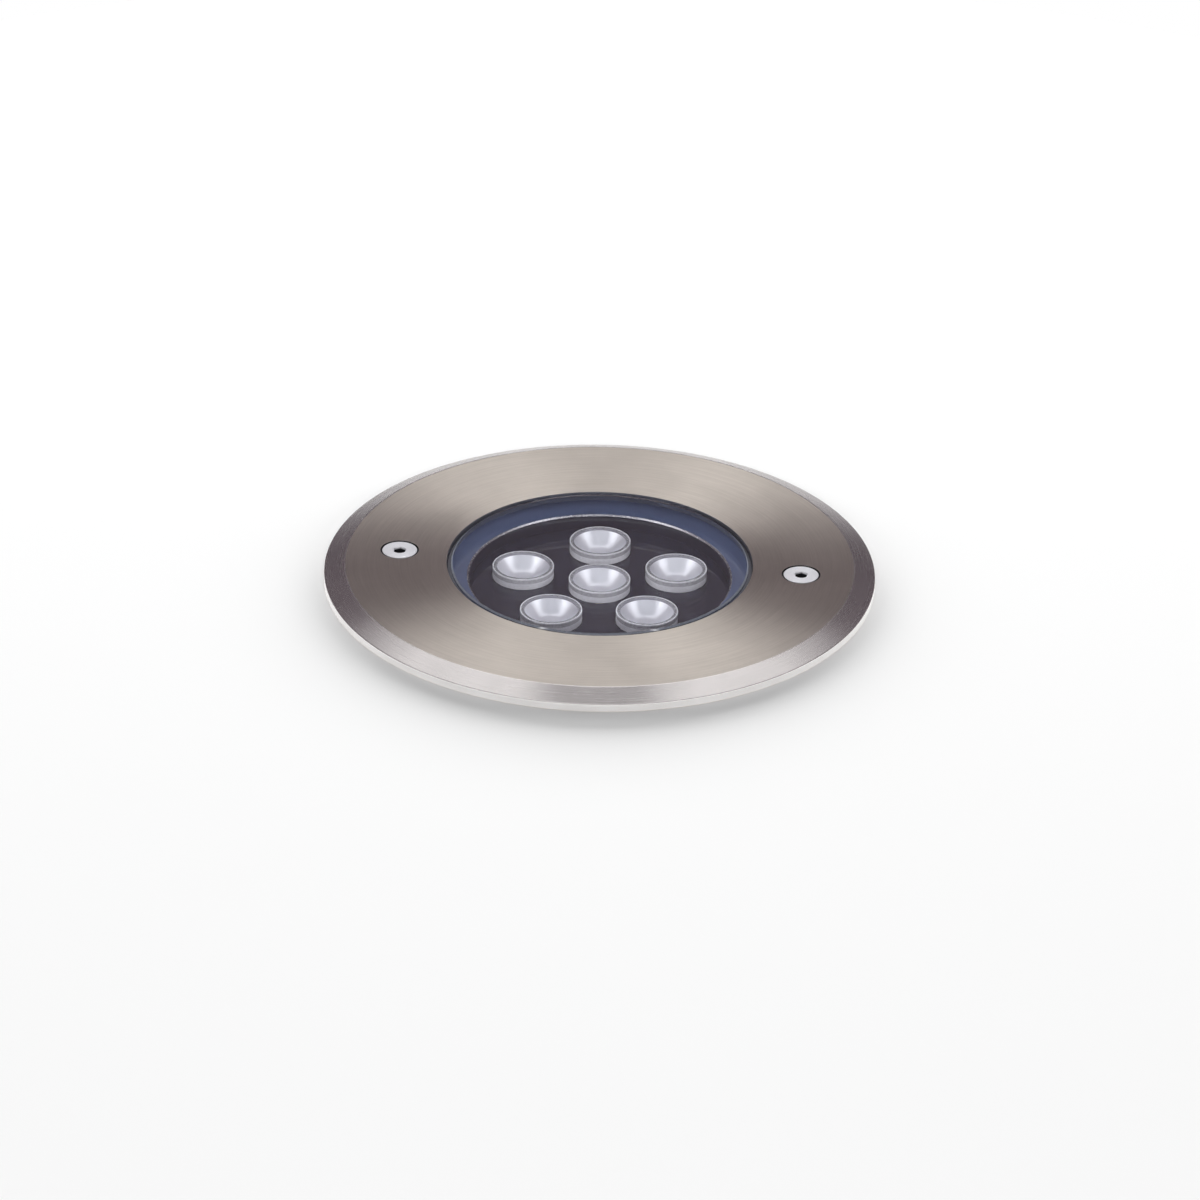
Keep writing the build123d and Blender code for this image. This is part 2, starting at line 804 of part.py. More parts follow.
os.makedirs("parts", exist_ok=True)
for node_name, shape in make_nodes().items():
    export_step(shape, "parts/" + node_name + ".step")
print(f"ring diameter {2 * ring_r:.2f}, opening {2 * opening_r:.2f}, screw circle {2 * captive_circle_r:.2f}")
print(f"sleeve diameter {2 * sleeve_r:.2f}, overall height {ring_thickness - sleeve_bottom:.2f}")
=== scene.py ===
import json
import math

import bmesh
import bpy
from bpy.props import FloatProperty, FloatVectorProperty, IntProperty, PointerProperty
from mathutils import Matrix, Vector


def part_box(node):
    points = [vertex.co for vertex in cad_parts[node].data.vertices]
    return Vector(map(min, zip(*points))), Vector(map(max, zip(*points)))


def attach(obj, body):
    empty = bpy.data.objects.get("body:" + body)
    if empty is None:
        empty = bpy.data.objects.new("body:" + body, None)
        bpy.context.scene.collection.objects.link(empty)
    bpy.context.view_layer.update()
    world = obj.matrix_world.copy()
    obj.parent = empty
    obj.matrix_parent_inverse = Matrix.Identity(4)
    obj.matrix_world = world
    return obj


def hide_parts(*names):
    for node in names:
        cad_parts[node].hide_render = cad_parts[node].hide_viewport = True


bl_info = {
    "name": "In-ground light",
    "version": (1, 0, 0),
    "blender": (4, 5, 0),
    "location": "View3D > Sidebar > Ground light",
    "description": "Dresses the packed in-ground light and sets it in a white studio floor",
    "category": "Object",
}

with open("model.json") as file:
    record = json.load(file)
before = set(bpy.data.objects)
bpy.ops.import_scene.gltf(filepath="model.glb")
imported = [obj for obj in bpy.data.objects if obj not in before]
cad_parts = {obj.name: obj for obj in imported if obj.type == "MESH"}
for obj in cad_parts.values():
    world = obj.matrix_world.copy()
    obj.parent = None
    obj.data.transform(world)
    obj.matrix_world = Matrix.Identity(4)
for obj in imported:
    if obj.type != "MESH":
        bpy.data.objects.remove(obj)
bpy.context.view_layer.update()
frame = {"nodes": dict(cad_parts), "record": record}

MM = 0.001
# Points closer than this are one point, and those of a ring lie this near to it
TOUCH = 0.0001 * MM
NEAR = 0.001 * MM
# Turns between faces that stay sharp: on a round piece, and on a pleated one
CREASE = math.radians(2)
PLEAT_CREASE = math.radians(40)
WHITE = (1.0, 1.0, 1.0, 1.0)
FLAT = (1, 1, 0)
LENS_NODES = sorted(name for name in frame["nodes"] if name.startswith("lens_") and name != "lens_plate")
SIDES = ("left", "right")


def low(node):
    """The lowest corner of a CAD node."""
    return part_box(node)[0]


def high(node):
    """The highest corner of a CAD node."""
    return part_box(node)[1]


def middle(node):
    """The point on a CAD node's own axis, at floor level."""
    centre = (low(node) + high(node)) / 2
    return Vector((centre.x, centre.y, 0))


def amount(label, description, default, **kind):
    """A number that a user may change."""
    settings = {"precision": 4, **kind}
    return FloatProperty(name=label, description=description, default=default, **settings)


def length(label, description, millimetres):
    """A size that a user may change."""
    return amount(label, description, millimetres * MM, min=0, unit="LENGTH", precision=5)


def angle(label, description, degrees):
    """An angle that a user may change."""
    return amount(label, description, math.radians(degrees), subtype="ANGLE")


def power(label, description, watts):
    """A lamp's power that a user may change."""
    return amount(label, description, watts, min=0, unit="POWER")


def count(label, description, default):
    """A whole number that a user may change."""
    return IntProperty(name=label, description=description, default=default, min=6)


def colour(label, description, default):
    """A colour that a user may change."""
    return FloatVectorProperty(
        name=label, description=description, default=default, size=3, min=0, max=1, subtype="COLOR"
    )


class GroundLightSizes(bpy.types.PropertyGroup):
    """Sizes of the pieces that are modelled here."""

    steps: count("Round steps", "Faces round a large turned piece", 288)
    small_steps: count("Small steps", "Faces round a small turned piece", 200)
    opening: length("Opening", "Radius of the ring's opening", 33.3)
    rim: length("Rim", "Height of the ring's upright rim", 1.8)
    chamfer: length("Chamfer", "Width of the ring's sloping border", 4.5)
    rebate_gap: length("Rebate gap", "Gap between the ring's rebate and the sleeve", 0.4)
    opening_edge: length("Opening edge", "Rounding of the opening's upper edge", 0.12)
    ring_edge: length("Ring edge", "Rounding of the ring's other edges", 0.2)
    sink: length("Countersink", "Radius of the screw holes at the ring's face", 4.2)
    sink_hole: length("Screw hole", "Radius of the screw holes below the countersink", 2.25)
    shank: length("Screw shank", "Radius of the captive screws", 1.95)
    pitch: length("Thread pitch", "Rise of the screw thread in one turn", 0.7)
    thread: length("Thread length", "Length of the thread from the screw's tip", 12.0)
    key: length("Key size", "Size across the flats of the hexagon socket", 2.5)
    key_depth: length("Key depth", "Depth of the hexagon socket", 1.6)
    key_edge: length("Key edge", "Width of the cone at the socket's mouth", 0.06)
    # Below this depth the socket's walls and its floor take a near-black finish: painted shade
    socket_shade_depth: length("Key bright", "Depth to which the socket's walls are bright", 0.45)
    glass: length("Glass", "Radius of the glass in the opening", 32.4)
    glass_rise: length("Glass rise", "Crown of the glass above its solid", 0.4)
    glass_bevel: length("Glass bevel", "Width of the bevel round the glass", 0.35)
    gasket_gap: length("Gasket gap", "Play between the gasket's lip and its neighbours", 0.05)
    lip_band: length("Lip band", "Height of the dark band at the top of the gasket's lip", 0.5)
    window: length("Window", "Radius of the window inside the lower gasket", 28.6)
    bead: length("Bead", "Width of the pale sloping edge round the window", 0.3)
    bead_wall: length("Bead wall", "Thickness of the lining round the window", 0.08)
    lens_stand: length("Lens stand", "Height of a lens above its plate", 2.5)
    lens: length("Lens", "Radius of a lens above its plate", 6.7)
    lens_edge: length("Lens edge", "Rounding of a lens's upper edge", 0.3)
    lens_lip: length("Lens lip", "Thickness of the lip under the plate", 1.0)
    lens_foot: length("Lens foot", "Radius of a lens where it meets the board", 3.4)
    lens_recess: length("LED recess", "Radius of the recess over the LED", 2.6)
    lens_recess_depth: length("LED recess depth", "Depth of the recess over the LED", 3.0)
    lens_rim: length("Lens rim", "Width of the frosted rim round a lens's face", 0.25)
    lens_proud: length("Rim lift", "Height of the frosted rim above a lens's face", 0.012)
    bowl: length("Bowl", "Radius of the reflecting bowl at its rim", 5.8)
    bowl_drop: length("Bowl drop", "Depth of the bowl's rim below the lens's face", 0.48)
    bowl_depth: length("Bowl depth", "Depth of the bowl below its rim", 2.2)
    bowl_floor: length("Bowl floor", "Radius of the bowl's flat floor", 2.0)
    bowl_curve: amount("Bowl curve", "Power of the curve from the bowl's floor to its rim", 1.45)
    collar: length("Collar", "Height of the collar round the bowl", 0.4)
    bowl_wall: length("Bowl wall", "Thickness of the reflecting bowl", 0.12)
    pleats: count("Pleats", "Pleats round the reflecting bowl", 60)
    pleat_depth: amount("Pleat depth", "Depth of a pleat as a share of the bowl's radius", 0.006)
    skirt_wall: length("Skirt wall", "Thickness of the frosted skirt", 0.2)
    side_wall: length("Side wall", "Thickness of the hazy side between skirt and rim", 0.05)
    skirt_height: length("Skirt height", "Height of the frosted skirt above the plate", 1.35)


class GroundLightColours(bpy.types.PropertyGroup):
    """Colours of the finishes."""

    steel: colour("Steel", "Turned stainless steel", (0.71, 0.65, 0.59))
    slope: colour("Chamfer", "Turned steel of the ring's sloping border", (0.71, 0.675, 0.67))
    rim: colour("Rim", "Polished steel of the ring's upright rim", (0.88, 0.86, 0.85))
    # Darker than the turned steel: painted shade on the wall of the ring's opening
    bore: colour("Bore", "Dark steel inside the holes", (0.5, 0.5, 0.55))
    screw: colour("Screw", "Bright stainless steel", (0.77, 0.77, 0.81))
    glass_edge: colour("Glass edge", "Ground bevel round the glass", (0.30, 0.32, 0.38))
    glass: colour("Glass", "Clear tempered glass", (0.975, 0.98, 0.99))
    black_rubber: colour("Black rubber", "Gasket between the ring and the glass", (0.07, 0.07, 0.083))
    # Near-black: the seals' own colour, and also painted shade in the screws' sockets and the ring's screw
    # holes
    socket: colour("Key socket", "Inside of the screws' sockets, and the seals inside", (0.012, 0.012, 0.014))
    blue_lip: colour("Blue lip", "Gasket's lip round the glass, below its dark band", (0.06, 0.07, 0.105))
    blue_rubber: colour("Blue rubber", "Gasket under the glass", (0.09, 0.122, 0.23))
    # Lighter than the inner blue: painted light that lifts the shade the ring throws on the gasket's outer
    # part
    blue_outer_painted_light: colour("Outer blue", "Gasket under the glass, towards its outer edge", (0.165, 0.205, 0.36))
    bead: colour("Bead", "Pale edge round the window", (0.42, 0.41, 0.44))
    plate: colour("Plate", "Glossy plate that the lenses stand in", (0.021, 0.021, 0.037))
    acrylic: colour("Acrylic", "Clear lens", (0.97, 0.98, 1.0))
    bowl: colour("Bowl", "Silvery bowl of a lens", (0.90, 0.91, 0.97))
    collar: colour("Collar", "Grey collar round the bowl", (0.34, 0.34, 0.38))
    # Dark grey painted shade on the bowl's back, for the dim view through the lens's side
    bowl_back_shade: colour("Bowl back", "Back of the bowl, seen through the lens's side", (0.13, 0.13, 0.155))
    skirt: colour("Skirt", "Frosted foot and rim of a lens", (0.93, 0.93, 1.0))
    cast: colour("Casting", "Die-cast aluminium", (0.44, 0.45, 0.46))
    sleeve: colour("Sleeve", "Moulded sleeve", (0.045, 0.046, 0.048))
    horizon: colour("Horizon", "Grey that the steel mirrors from low down", (0.10, 0.08, 0.094))
    shade: colour("Shade", "Grey that the steel mirrors from above that", (0.165, 0.14, 0.155))
    overhead: colour("Overhead", "Grey that the steel mirrors from straight above", (0.10, 0.09, 0.10))
    floor: colour("Floor", "Plain floor", (0.90, 0.90, 0.90))


class GroundLightStage(bpy.types.PropertyGroup):
    """The floor, the lamps and the camera."""

    floor_reach: length("Floor reach", "Radius of the floor", 350)
    hole: length("Hole", "Radius of the hole in the floor", 52.3)
    floor_glow: amount("Floor glow", "Own light of the floor in the picture", 0.02)
    mirror_glow: amount("Mirror glow", "Own light of the floor in the steel", 0.3)
    sky_level: amount("Sky level", "Light that the surroundings throw on the object", 0.03)
    dome_reach: length("Dome reach", "Distance of the surroundings that the steel mirrors", 1500)
    dome_level: amount("Dome level", "Brightness of the surroundings that the steel mirrors", 1.05)
    horizon_to: angle("Horizon to", "Elevation up to which the surroundings are darkest", 14.0)
    shade_to: angle("Shade to", "Elevation up to which the surroundings are grey", 36.0)
    bright_from: angle("Bright from", "Elevation from which they are bright", 52.0)
    near_gain: amount("Near gain", "How much brighter their near side lights the lenses", 4.6)
    far_gain: amount("Far gain", "How much brighter their far side lights the lenses", 1.6)
    card_level: amount("White card", "Brightness of the white card behind the object", 2.2)
    lens_card: amount("Grey card", "Brightness of the grey card that the lenses mirror", 0.5)
    top_power: power("Top light", "Power of the light overhead", 2.0)
    back_power: power("Back light", "Power of the low light behind the object", 235.0)
    side_power: power("Side lights", "Power of each low light beside the object", 38.0)
    front_power: power("Front light", "Power of the light above the camera", 10.0)
    azimuth: angle("Azimuth", "Camera's turn about the lamp", 5.36)
    elevation: angle("Elevation", "Camera's height above the floor", 28.42)
    distance: length("Distance", "Camera's distance from the middle of the ring", 1173)
    focal: amount("Focal length", "Camera lens on a sensor 36 mm wide", 161.52, unit="CAMERA")
    roll: angle("Roll", "Camera's roll", 1.01)
    rise: length("Rise", "Height of the ring's middle above the middle of the picture", 5.21)
    drift: length("Drift", "Distance of the ring's middle to the left of the picture's middle", 0.1)


def sizes():
    """The sizes set in this scene."""
    return bpy.context.scene.ground_light_sizes


def colours():
    """The colours set in this scene."""
    return bpy.context.scene.ground_light_colours


# Mesh tools

# Shares of the pitch: depth of the thread and width of its foot; and how far the ridge bites into the shank
THREAD_DEPTH = 0.54
THREAD_FOOT = 0.96
THREAD_BITE = 0.1
# Faces round a turn of thread and a socket's mouth, and steps across a rounding and a bowl's side
THREAD_STEPS = 36
LEAD_IN_STEPS = 48
SOFT_STEPS = 3
BOWL_STEPS = 20


def full_turn(mesh, geometry, steps):
    """Spin a section once round the Z axis."""
    bmesh.ops.spin(
        mesh, geom=geometry, cent=(0, 0, 0), axis=(0, 0, 1), angle=math.tau, steps=steps, use_merge=True
    )


def turned(steps, *corners):
    """A round mesh about the Z axis from corners round its section: radius, level and maybe a rounding."""
    mesh = bmesh.new()
    points = [mesh.verts.new((radius, 0, level)) for radius, level, *_ in corners]
    hollow = all(radius > 0 for radius, *_ in corners)
    ends = points[1:] + points[:1] if hollow else points[1:]
    section = [mesh.edges.new(pair) for pair in zip(points, ends)]
    full_turn(mesh, points + section, steps)
    bmesh.ops.remove_doubles(mesh, verts=mesh.verts, dist=TOUCH)
    bmesh.ops.recalc_face_normals(mesh, faces=mesh.faces)
    for radius, level, *rounding in corners:
        if rounding:
            soften(mesh, radius, level, *rounding)
    return mesh


def soften(mesh, radius, level, rounding):
    """Round the ring of edges at a radius and a level."""

    def on_ring(vert):
        return max(abs(vert.co.z - level), abs(vert.co.xy.length - radius)) < NEAR

    ring = [edge for edge in mesh.edges if all(on_ring(vert) for vert in edge.verts)]
    bmesh.ops.bevel(
        mesh, geom=ring, offset=rounding, segments=SOFT_STEPS, profile=0.5, affect="EDGES", material=-1,
        clamp_overlap=True,
    )


def moved(mesh, place):
    """A mesh carried to a place."""
    bmesh.ops.translate(mesh, verts=mesh.verts, vec=place)
    return mesh


def hexagon(flats, bottom, top):
    """A hexagonal bar about the Z axis."""
    mesh = bmesh.new()
    corner = flats / math.sqrt(3)
    bmesh.ops.create_cone(
        mesh, cap_ends=True, segments=6, radius1=corner, radius2=corner, depth=top - bottom,
        matrix=Matrix.Translation((0, 0, (top + bottom) / 2)),
    )
    return mesh


def to_object(name, mesh):
    """A new object in the scene from a mesh."""
    data = bpy.data.meshes.new(name)
    mesh.to_mesh(data)
    mesh.free()
    made = bpy.data.objects.new(name, data)
    bpy.context.scene.collection.objects.link(made)
    return made


def carved(mesh, cutters):
    """A mesh with other meshes cut out of it."""
    solid = to_object("uncut", mesh)
    tools = [to_object("cutter", cutter) for cutter in cutters]
    for tool in tools:
        cut = solid.modifiers.new("cut", "BOOLEAN")
        cut.object = tool
        cut.solver = "EXACT"
    shaped = solid.evaluated_get(bpy.context.evaluated_depsgraph_get())
    result = bmesh.new()
    result.from_mesh(shaped.to_mesh())
    shaped.to_mesh_clear()
    for used in [solid] + tools:
        data = used.data
        bpy.data.objects.remove(used)
        bpy.data.meshes.remove(data)
    return result


def thread_ridge(mesh, core, crest, pitch, bottom, turns):
    """Add a closed helical ridge round a shank."""
    root = core - THREAD_BITE * (crest - core)
    section = [(root, bottom), (crest, bottom + pitch / 2), (root, bottom + pitch * THREAD_FOOT)]
    points = [mesh.verts.new((radius, 0, level)) for radius, level in section]
    edges = [mesh.edges.new((points[i], points[(i + 1) % 3])) for i in range(3)]
    first = mesh.faces.new(points)
    swept = bmesh.ops.spin(
        mesh, geom=points + edges, cent=(0, 0, 0), axis=(0, 0, 1), dvec=(0, 0, pitch / THREAD_STEPS),
        angle=math.tau * turns, steps=THREAD_STEPS * turns,
    )
    last = [part for part in swept["geom_last"] if isinstance(part, bmesh.types.BMVert)]
    mesh.faces.new(last)
    first.normal_update()
    bmesh.ops.recalc_face_normals(mesh, faces=mesh.faces)


def piece(name, mesh, finishes, body, stands_for=(), crease=CREASE):
    """Finish a mesh as a piece of the lamp that rides on a body."""
    made = to_object(name, mesh)
    made.data.shade_smooth()
    made.data.set_sharp_from_angle(angle=crease)
    for finish in finishes:
        made.data.materials.append(finish)
    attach(made, body)
    if stands_for:
        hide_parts(*stands_for)
    return made


# Node tools

# Places of the colour sockets on a mixing node
COLOUR_INPUTS = (0, 6, 7)
COLOUR_OUTPUT = 2
# The parts of a noise's range that count
NOISE_RANGE = (0.3, 0.7)
MARK_RANGE = (0.35, 0.65)
# Waves of a smudge in a metre, scale of broad grain as a share of fine grain, and how few specks are large
SMUDGE_SCALE = 70.0
BROAD_SHARE = 0.08
SPECK_POWER = 6.0


def node(tree, kind, **settings):
    """Add a shader node."""
    made = tree.nodes.new("ShaderNode" + kind)
    for key, value in settings.items():
        setattr(made, key, value)
    return made


def feed(tree, socket, value):
    """Give a socket a link or a plain value."""
    if isinstance(value, bpy.types.NodeSocket):
        tree.links.new(value, socket)
    else:
        socket.default_value = value


def fill(tree, made, *values, **named):
    """Feed a node's sockets in order, or by name with _ for a space."""
    for socket, value in zip(made.inputs, values):
        feed(tree, socket, value)
    for label, value in named.items():
        feed(tree, made.inputs[label.replace("_", " ")], value)
    return made


def calc(tree, operation, *values):
    """A sum on numbers."""
    return fill(tree, node(tree, "Math", operation=operation), *values).outputs[0]


def vector_calc(tree, operation, *values, output=0):
    """A sum on vectors."""
    return fill(tree, node(tree, "VectorMath", operation=operation), *values).outputs[output]


def blend(tree, share, first, second):
    """A colour between two colours."""
    made = node(tree, "Mix", data_type="RGBA")
    for place, value in zip(COLOUR_INPUTS, (share, first, second)):
        feed(tree, made.inputs[place], value)
    return made.outputs[COLOUR_OUTPUT]


def span(tree, value, from_low, from_high, to_low, to_high):
    """A number carried from one range to another."""
    return fill(tree, node(tree, "MapRange"), value, from_low, from_high, to_low, to_high).outputs[0]


def noise(tree, vector, scale, detail, **others):
    """Soft noise round the middle of nought to one."""
    made = node(tree, "TexNoise")
    return fill(tree, made, Vector=vector, Scale=scale, Detail=detail, **others).outputs[0]


def new_group(name, inputs, outputs):
    """An empty shader group with named sockets."""
    tree = bpy.data.node_groups.new(name, "ShaderNodeTree")
    for label, kind in inputs:
        tree.interface.new_socket(label, in_out="INPUT", socket_type="NodeSocket" + kind)
    for label in outputs:
        tree.interface.new_socket(label, in_out="OUTPUT", socket_type="NodeSocketFloat")
    return tree, tree.nodes.new("NodeGroupInput").outputs, tree.nodes.new("NodeGroupOutput").inputs


def use_group(tree, name, **values):
    """Place a shared effect in a material."""
    return fill(tree, node(tree, "Group", node_tree=bpy.data.node_groups[name]), **values).outputs


def make_brushing():
    """Fine marks that run round the Z axis, as a lathe leaves them."""
    inputs = [("Vector", "Vector"), ("Lines", "Float"), ("Arcs", "Float")]
    tree, given, result = new_group("Turned brushing", inputs, ["Streak", "Smudge"])
    flat = vector_calc(tree, "MULTIPLY", given["Vector"], FLAT)
    radius = vector_calc(tree, "LENGTH", flat, output=1)
    heading = node(tree, "VectorMath", operation="SCALE")
    fill(tree, heading, vector_calc(tree, "NORMALIZE", flat), Scale=given["Arcs"])
    lift = fill(tree, node(tree, "CombineXYZ"), Z=calc(tree, "MULTIPLY", radius, given["Lines"]))
    place = vector_calc(tree, "ADD", heading.outputs[0], lift.outputs[0])
    feed(tree, result["Streak"], noise(tree, place, scale=1.0, detail=4.0, Roughness=0.65))
    feed(tree, result["Smudge"], noise(tree, given["Vector"], SMUDGE_SCALE, detail=3.0))


def make_grain():
    """Fine surface grain with slow changes of shade over it."""
    inputs = [("Vector", "Vector"), ("Scale", "Float")]
    tree, given, result = new_group("Fine grain", inputs, ["Height", "Shade"])
    broad = calc(tree, "MULTIPLY", given["Scale"], BROAD_SHARE)
    feed(tree, result["Height"], noise(tree, given["Vector"], given["Scale"], detail=5.0))
    feed(tree, result["Shade"], noise(tree, given["Vector"], broad, detail=3.0))


def make_dust():
    """A few pale specks, most of them very small."""
    inputs = [("Vector", "Vector"), ("Scale", "Float"), ("Size", "Float")]
    tree, given, result = new_group("Dust specks", inputs, ["Mask"])
    cells = fill(tree, node(tree, "TexVoronoi"), Vector=given["Vector"], Scale=given["Scale"])
    parts = fill(tree, node(tree, "SeparateColor"), cells.outputs["Color"])
    reach = calc(tree, "MULTIPLY", calc(tree, "POWER", parts.outputs[0], SPECK_POWER), given["Size"])
    feed(tree, result["Mask"], calc(tree, "LESS_THAN", cells.outputs["Distance"], reach))


def new_finish(name):
    """A new material, its tree, its shader and its object coordinates."""
    finish = bpy.data.materials.new(name)
    finish.use_nodes = True
    tree = finish.node_tree
    shader = tree.nodes["Principled BSDF"]
    return finish, tree, shader, node(tree, "TexCoord").outputs["Object"]


def grained_finish(name, scale):
    """A new material with fine grain: the material, its tree, its shader and its grain."""
    finish, tree, shader, coordinates = new_finish(name)
    return finish, tree, shader, use_group(tree, "Fine grain", Vector=coordinates, Scale=scale)


def add_bump(tree, shader, height, strength, depth):
    """Raise a surface by a height."""
    bump = fill(tree, node(tree, "Bump"), Strength=strength, Distance=depth, Height=height)
    fill(tree, shader, Normal=bump.outputs[0])


def between(tree, height, lowest, highest):
    """A number that follows a noise from one value to another."""
    return span(tree, height, *NOISE_RANGE, lowest, highest)


def tinted(tree, share, tint, spread):
    """A tint that a noise makes darker and lighter by a spread."""
    return blend(tree, share, shade(tint, 1 - spread), shade(tint, 1 + spread))


def shade(tint, factor):
    """A tint made lighter or darker, as a colour socket takes it."""
    return tuple(min(part * factor, 1.0) for part in tint) + (1.0,)


# Finishes

# Scales of the grain, as waves in a metre
FINE_GRAIN = 1500.0
MEDIUM_GRAIN = 1200.0
COARSE_GRAIN = 900.0
# Turning marks: share and shade of a line, and strength and depth of its relief
MARK_SHARE = 0.25
MARK_SHADE = 0.7
MARK_BUMP = 0.2
MARK_DEPTH = 0.02 * MM
# Play of the roughness, and strength and depth of the grain
ROUGH_PLAY = 0.06
GRAIN_BUMP = 0.35
SLIGHT_RELIEF = 0.01 * MM
# Dust, and the tracks of a circuit board
SPECK_TINT = (0.5, 0.5, 0.5, 1.0)
TRACK_WIDTH = 0.06


def turned_steel(name, tint, place, roughness, stretch, metallic=1.0, depth=1.0):
    """Stainless steel with turning marks round an upright axis through a place."""
    finish, tree, shader, coordinates = new_finish(name)
    shift = fill(tree, node(tree, "Mapping"), Vector=coordinates, Location=-place)
    marks = use_group(tree, "Turned brushing", Vector=shift.outputs[0], Lines=3000.0, Arcs=3.0)
    worn = tinted(tree, span(tree, marks["Smudge"], *MARK_RANGE, 0.0, 1.0), tint, spread=0.05)
    line = span(tree, marks["Streak"], *MARK_RANGE, 0.0, MARK_SHARE * depth)
    play = ROUGH_PLAY * depth
    fill(
        tree,
        shader,
        Base_Color=blend(tree, line, worn, shade(tint, MARK_SHADE)),
        Metallic=metallic,
        Roughness=between(tree, marks["Streak"], roughness - play, roughness + play),
        Anisotropic=stretch,
        Anisotropic_Rotation=0.25,
        Tangent=node(tree, "Tangent", direction_type="RADIAL", axis="Z").outputs[0],
    )
    add_bump(tree, shader, marks["Streak"], MARK_BUMP * depth, MARK_DEPTH)
    return finish


def clear_finish(name, tint, index, roughness):
    """Clear glass or acrylic that lets lamplight through."""
    finish, tree, shader, grain = grained_finish(name, scale=400.0)
    base = blend(tree, grain["Shade"], shade(tint, 0.99), shade(tint, 1.0))
    fill(tree, shader, Base_Color=base, Roughness=roughness, IOR=index, Transmission_Weight=1.0)
    lamplight = fill(tree, node(tree, "BsdfTransparent"), Color=shade(tint, 0.98))
    shadow = node(tree, "LightPath").outputs["Is Shadow Ray"]
    either = fill(tree, node(tree, "MixShader"), shadow, shader.outputs[0], lamplight.outputs[0])
    fill(tree, tree.nodes["Material Output"], Surface=either.outputs[0])
    return finish


def moulded(
    name, tint, roughness, grain_scale=FINE_GRAIN, relief=SLIGHT_RELIEF, metallic=0.0, contrast=0.12
):
    """A moulded, cast or coated surface with fine grain."""
    finish, tree, shader, grain = grained_finish(name, grain_scale)
    base = tinted(tree, between(tree, grain["Shade"], 0.0, 1.0), tint, contrast)
    gloss = between(tree, grain["Height"], roughness - ROUGH_PLAY, roughness + ROUGH_PLAY)
    fill(tree, shader, Base_Color=base, Metallic=metallic, Roughness=gloss)
    add_bump(tree, shader, grain["Height"], GRAIN_BUMP, relief)
    return finish


def glossy_plate(name, tint):
    """Glossy black plastic with a little dust on it."""
    finish, tree, shader, coordinates = new_finish(name)
    grain = use_group(tree, "Fine grain", Vector=coordinates, Scale=FINE_GRAIN)
    dust = use_group(tree, "Dust specks", Vector=coordinates, Scale=300.0, Size=0.05)
    base = blend(tree, dust["Mask"], tinted(tree, grain["Shade"], tint, spread=0.15), SPECK_TINT)
    fill(tree, shader, Base_Color=base, Roughness=between(tree, grain["Height"], 0.062, 0.078))
    return finish


def shaded_rubber(name, inner_tint, outer_tint, inner, outer):
    """Matt rubber whose colour changes from its inner edge to its outer edge."""
    finish, tree, shader, coordinates = new_finish(name)
    radius = vector_calc(tree, "LENGTH", vector_calc(tree, "MULTIPLY", coordinates, FLAT), output=1)
    place = span(tree, radius, inner, outer, 0.0, 1.0)
    grain = use_group(tree, "Fine grain", Vector=coordinates, Scale=COARSE_GRAIN)
    light, dark = (
        blend(tree, place, shade(inner_tint, level), shade(outer_tint, level)) for level in (1.0, 0.9)
    )
    base = blend(tree, grain["Shade"], light, dark)
    fill(tree, shader, Base_Color=base, Roughness=between(tree, grain["Height"], 0.45, 0.55))
    add_bump(tree, shader, grain["Height"], GRAIN_BUMP, SLIGHT_RELIEF)
    return finish


def silver_bowl(name, tint):
    """The lens's bowl: satin, half white and half silvery."""
    finish, tree, shader, grain = grained_finish(name, scale=2500.0)
    gloss = between(tree, grain["Height"], 0.28, 0.34)
    base = tinted(tree, grain["Shade"], tint, spread=0.03)
    fill(tree, shader, Base_Color=base, Metallic=0.5, Roughness=gloss)
    return finish


def frosted(name, tint, thinnest, thickest):
    """Frosted glass or acrylic, which lets through a part of what is behind it."""
    finish, tree, shader, grain = grained_finish(name, scale=1800.0)
    cover = between(tree, grain["Height"], thinnest, thickest)
    base = tinted(tree, grain["Shade"], tint, spread=0.05)
    fill(tree, shader, Base_Color=base, Roughness=0.4, Alpha=cover)
    return finish


def circuit_board(name, mask, trace):
    """A coated circuit board with its tracks showing through."""
    finish, tree, shader, coordinates = new_finish(name)
    cells = node(tree, "TexVoronoi", feature="DISTANCE_TO_EDGE")
    fill(tree, cells, Vector=coordinates, Scale=320.0)
    track = calc(tree, "LESS_THAN", cells.outputs["Distance"], TRACK_WIDTH)
    grain = use_group(tree, "Fine grain", Vector=coordinates, Scale=COARSE_GRAIN)
    base = blend(tree, track, tinted(tree, grain["Shade"], mask, spread=0.1), shade(trace, 1.0))
    fill(tree, shader, Base_Color=base, Roughness=between(tree, grain["Height"], 0.3, 0.42))
    return finish


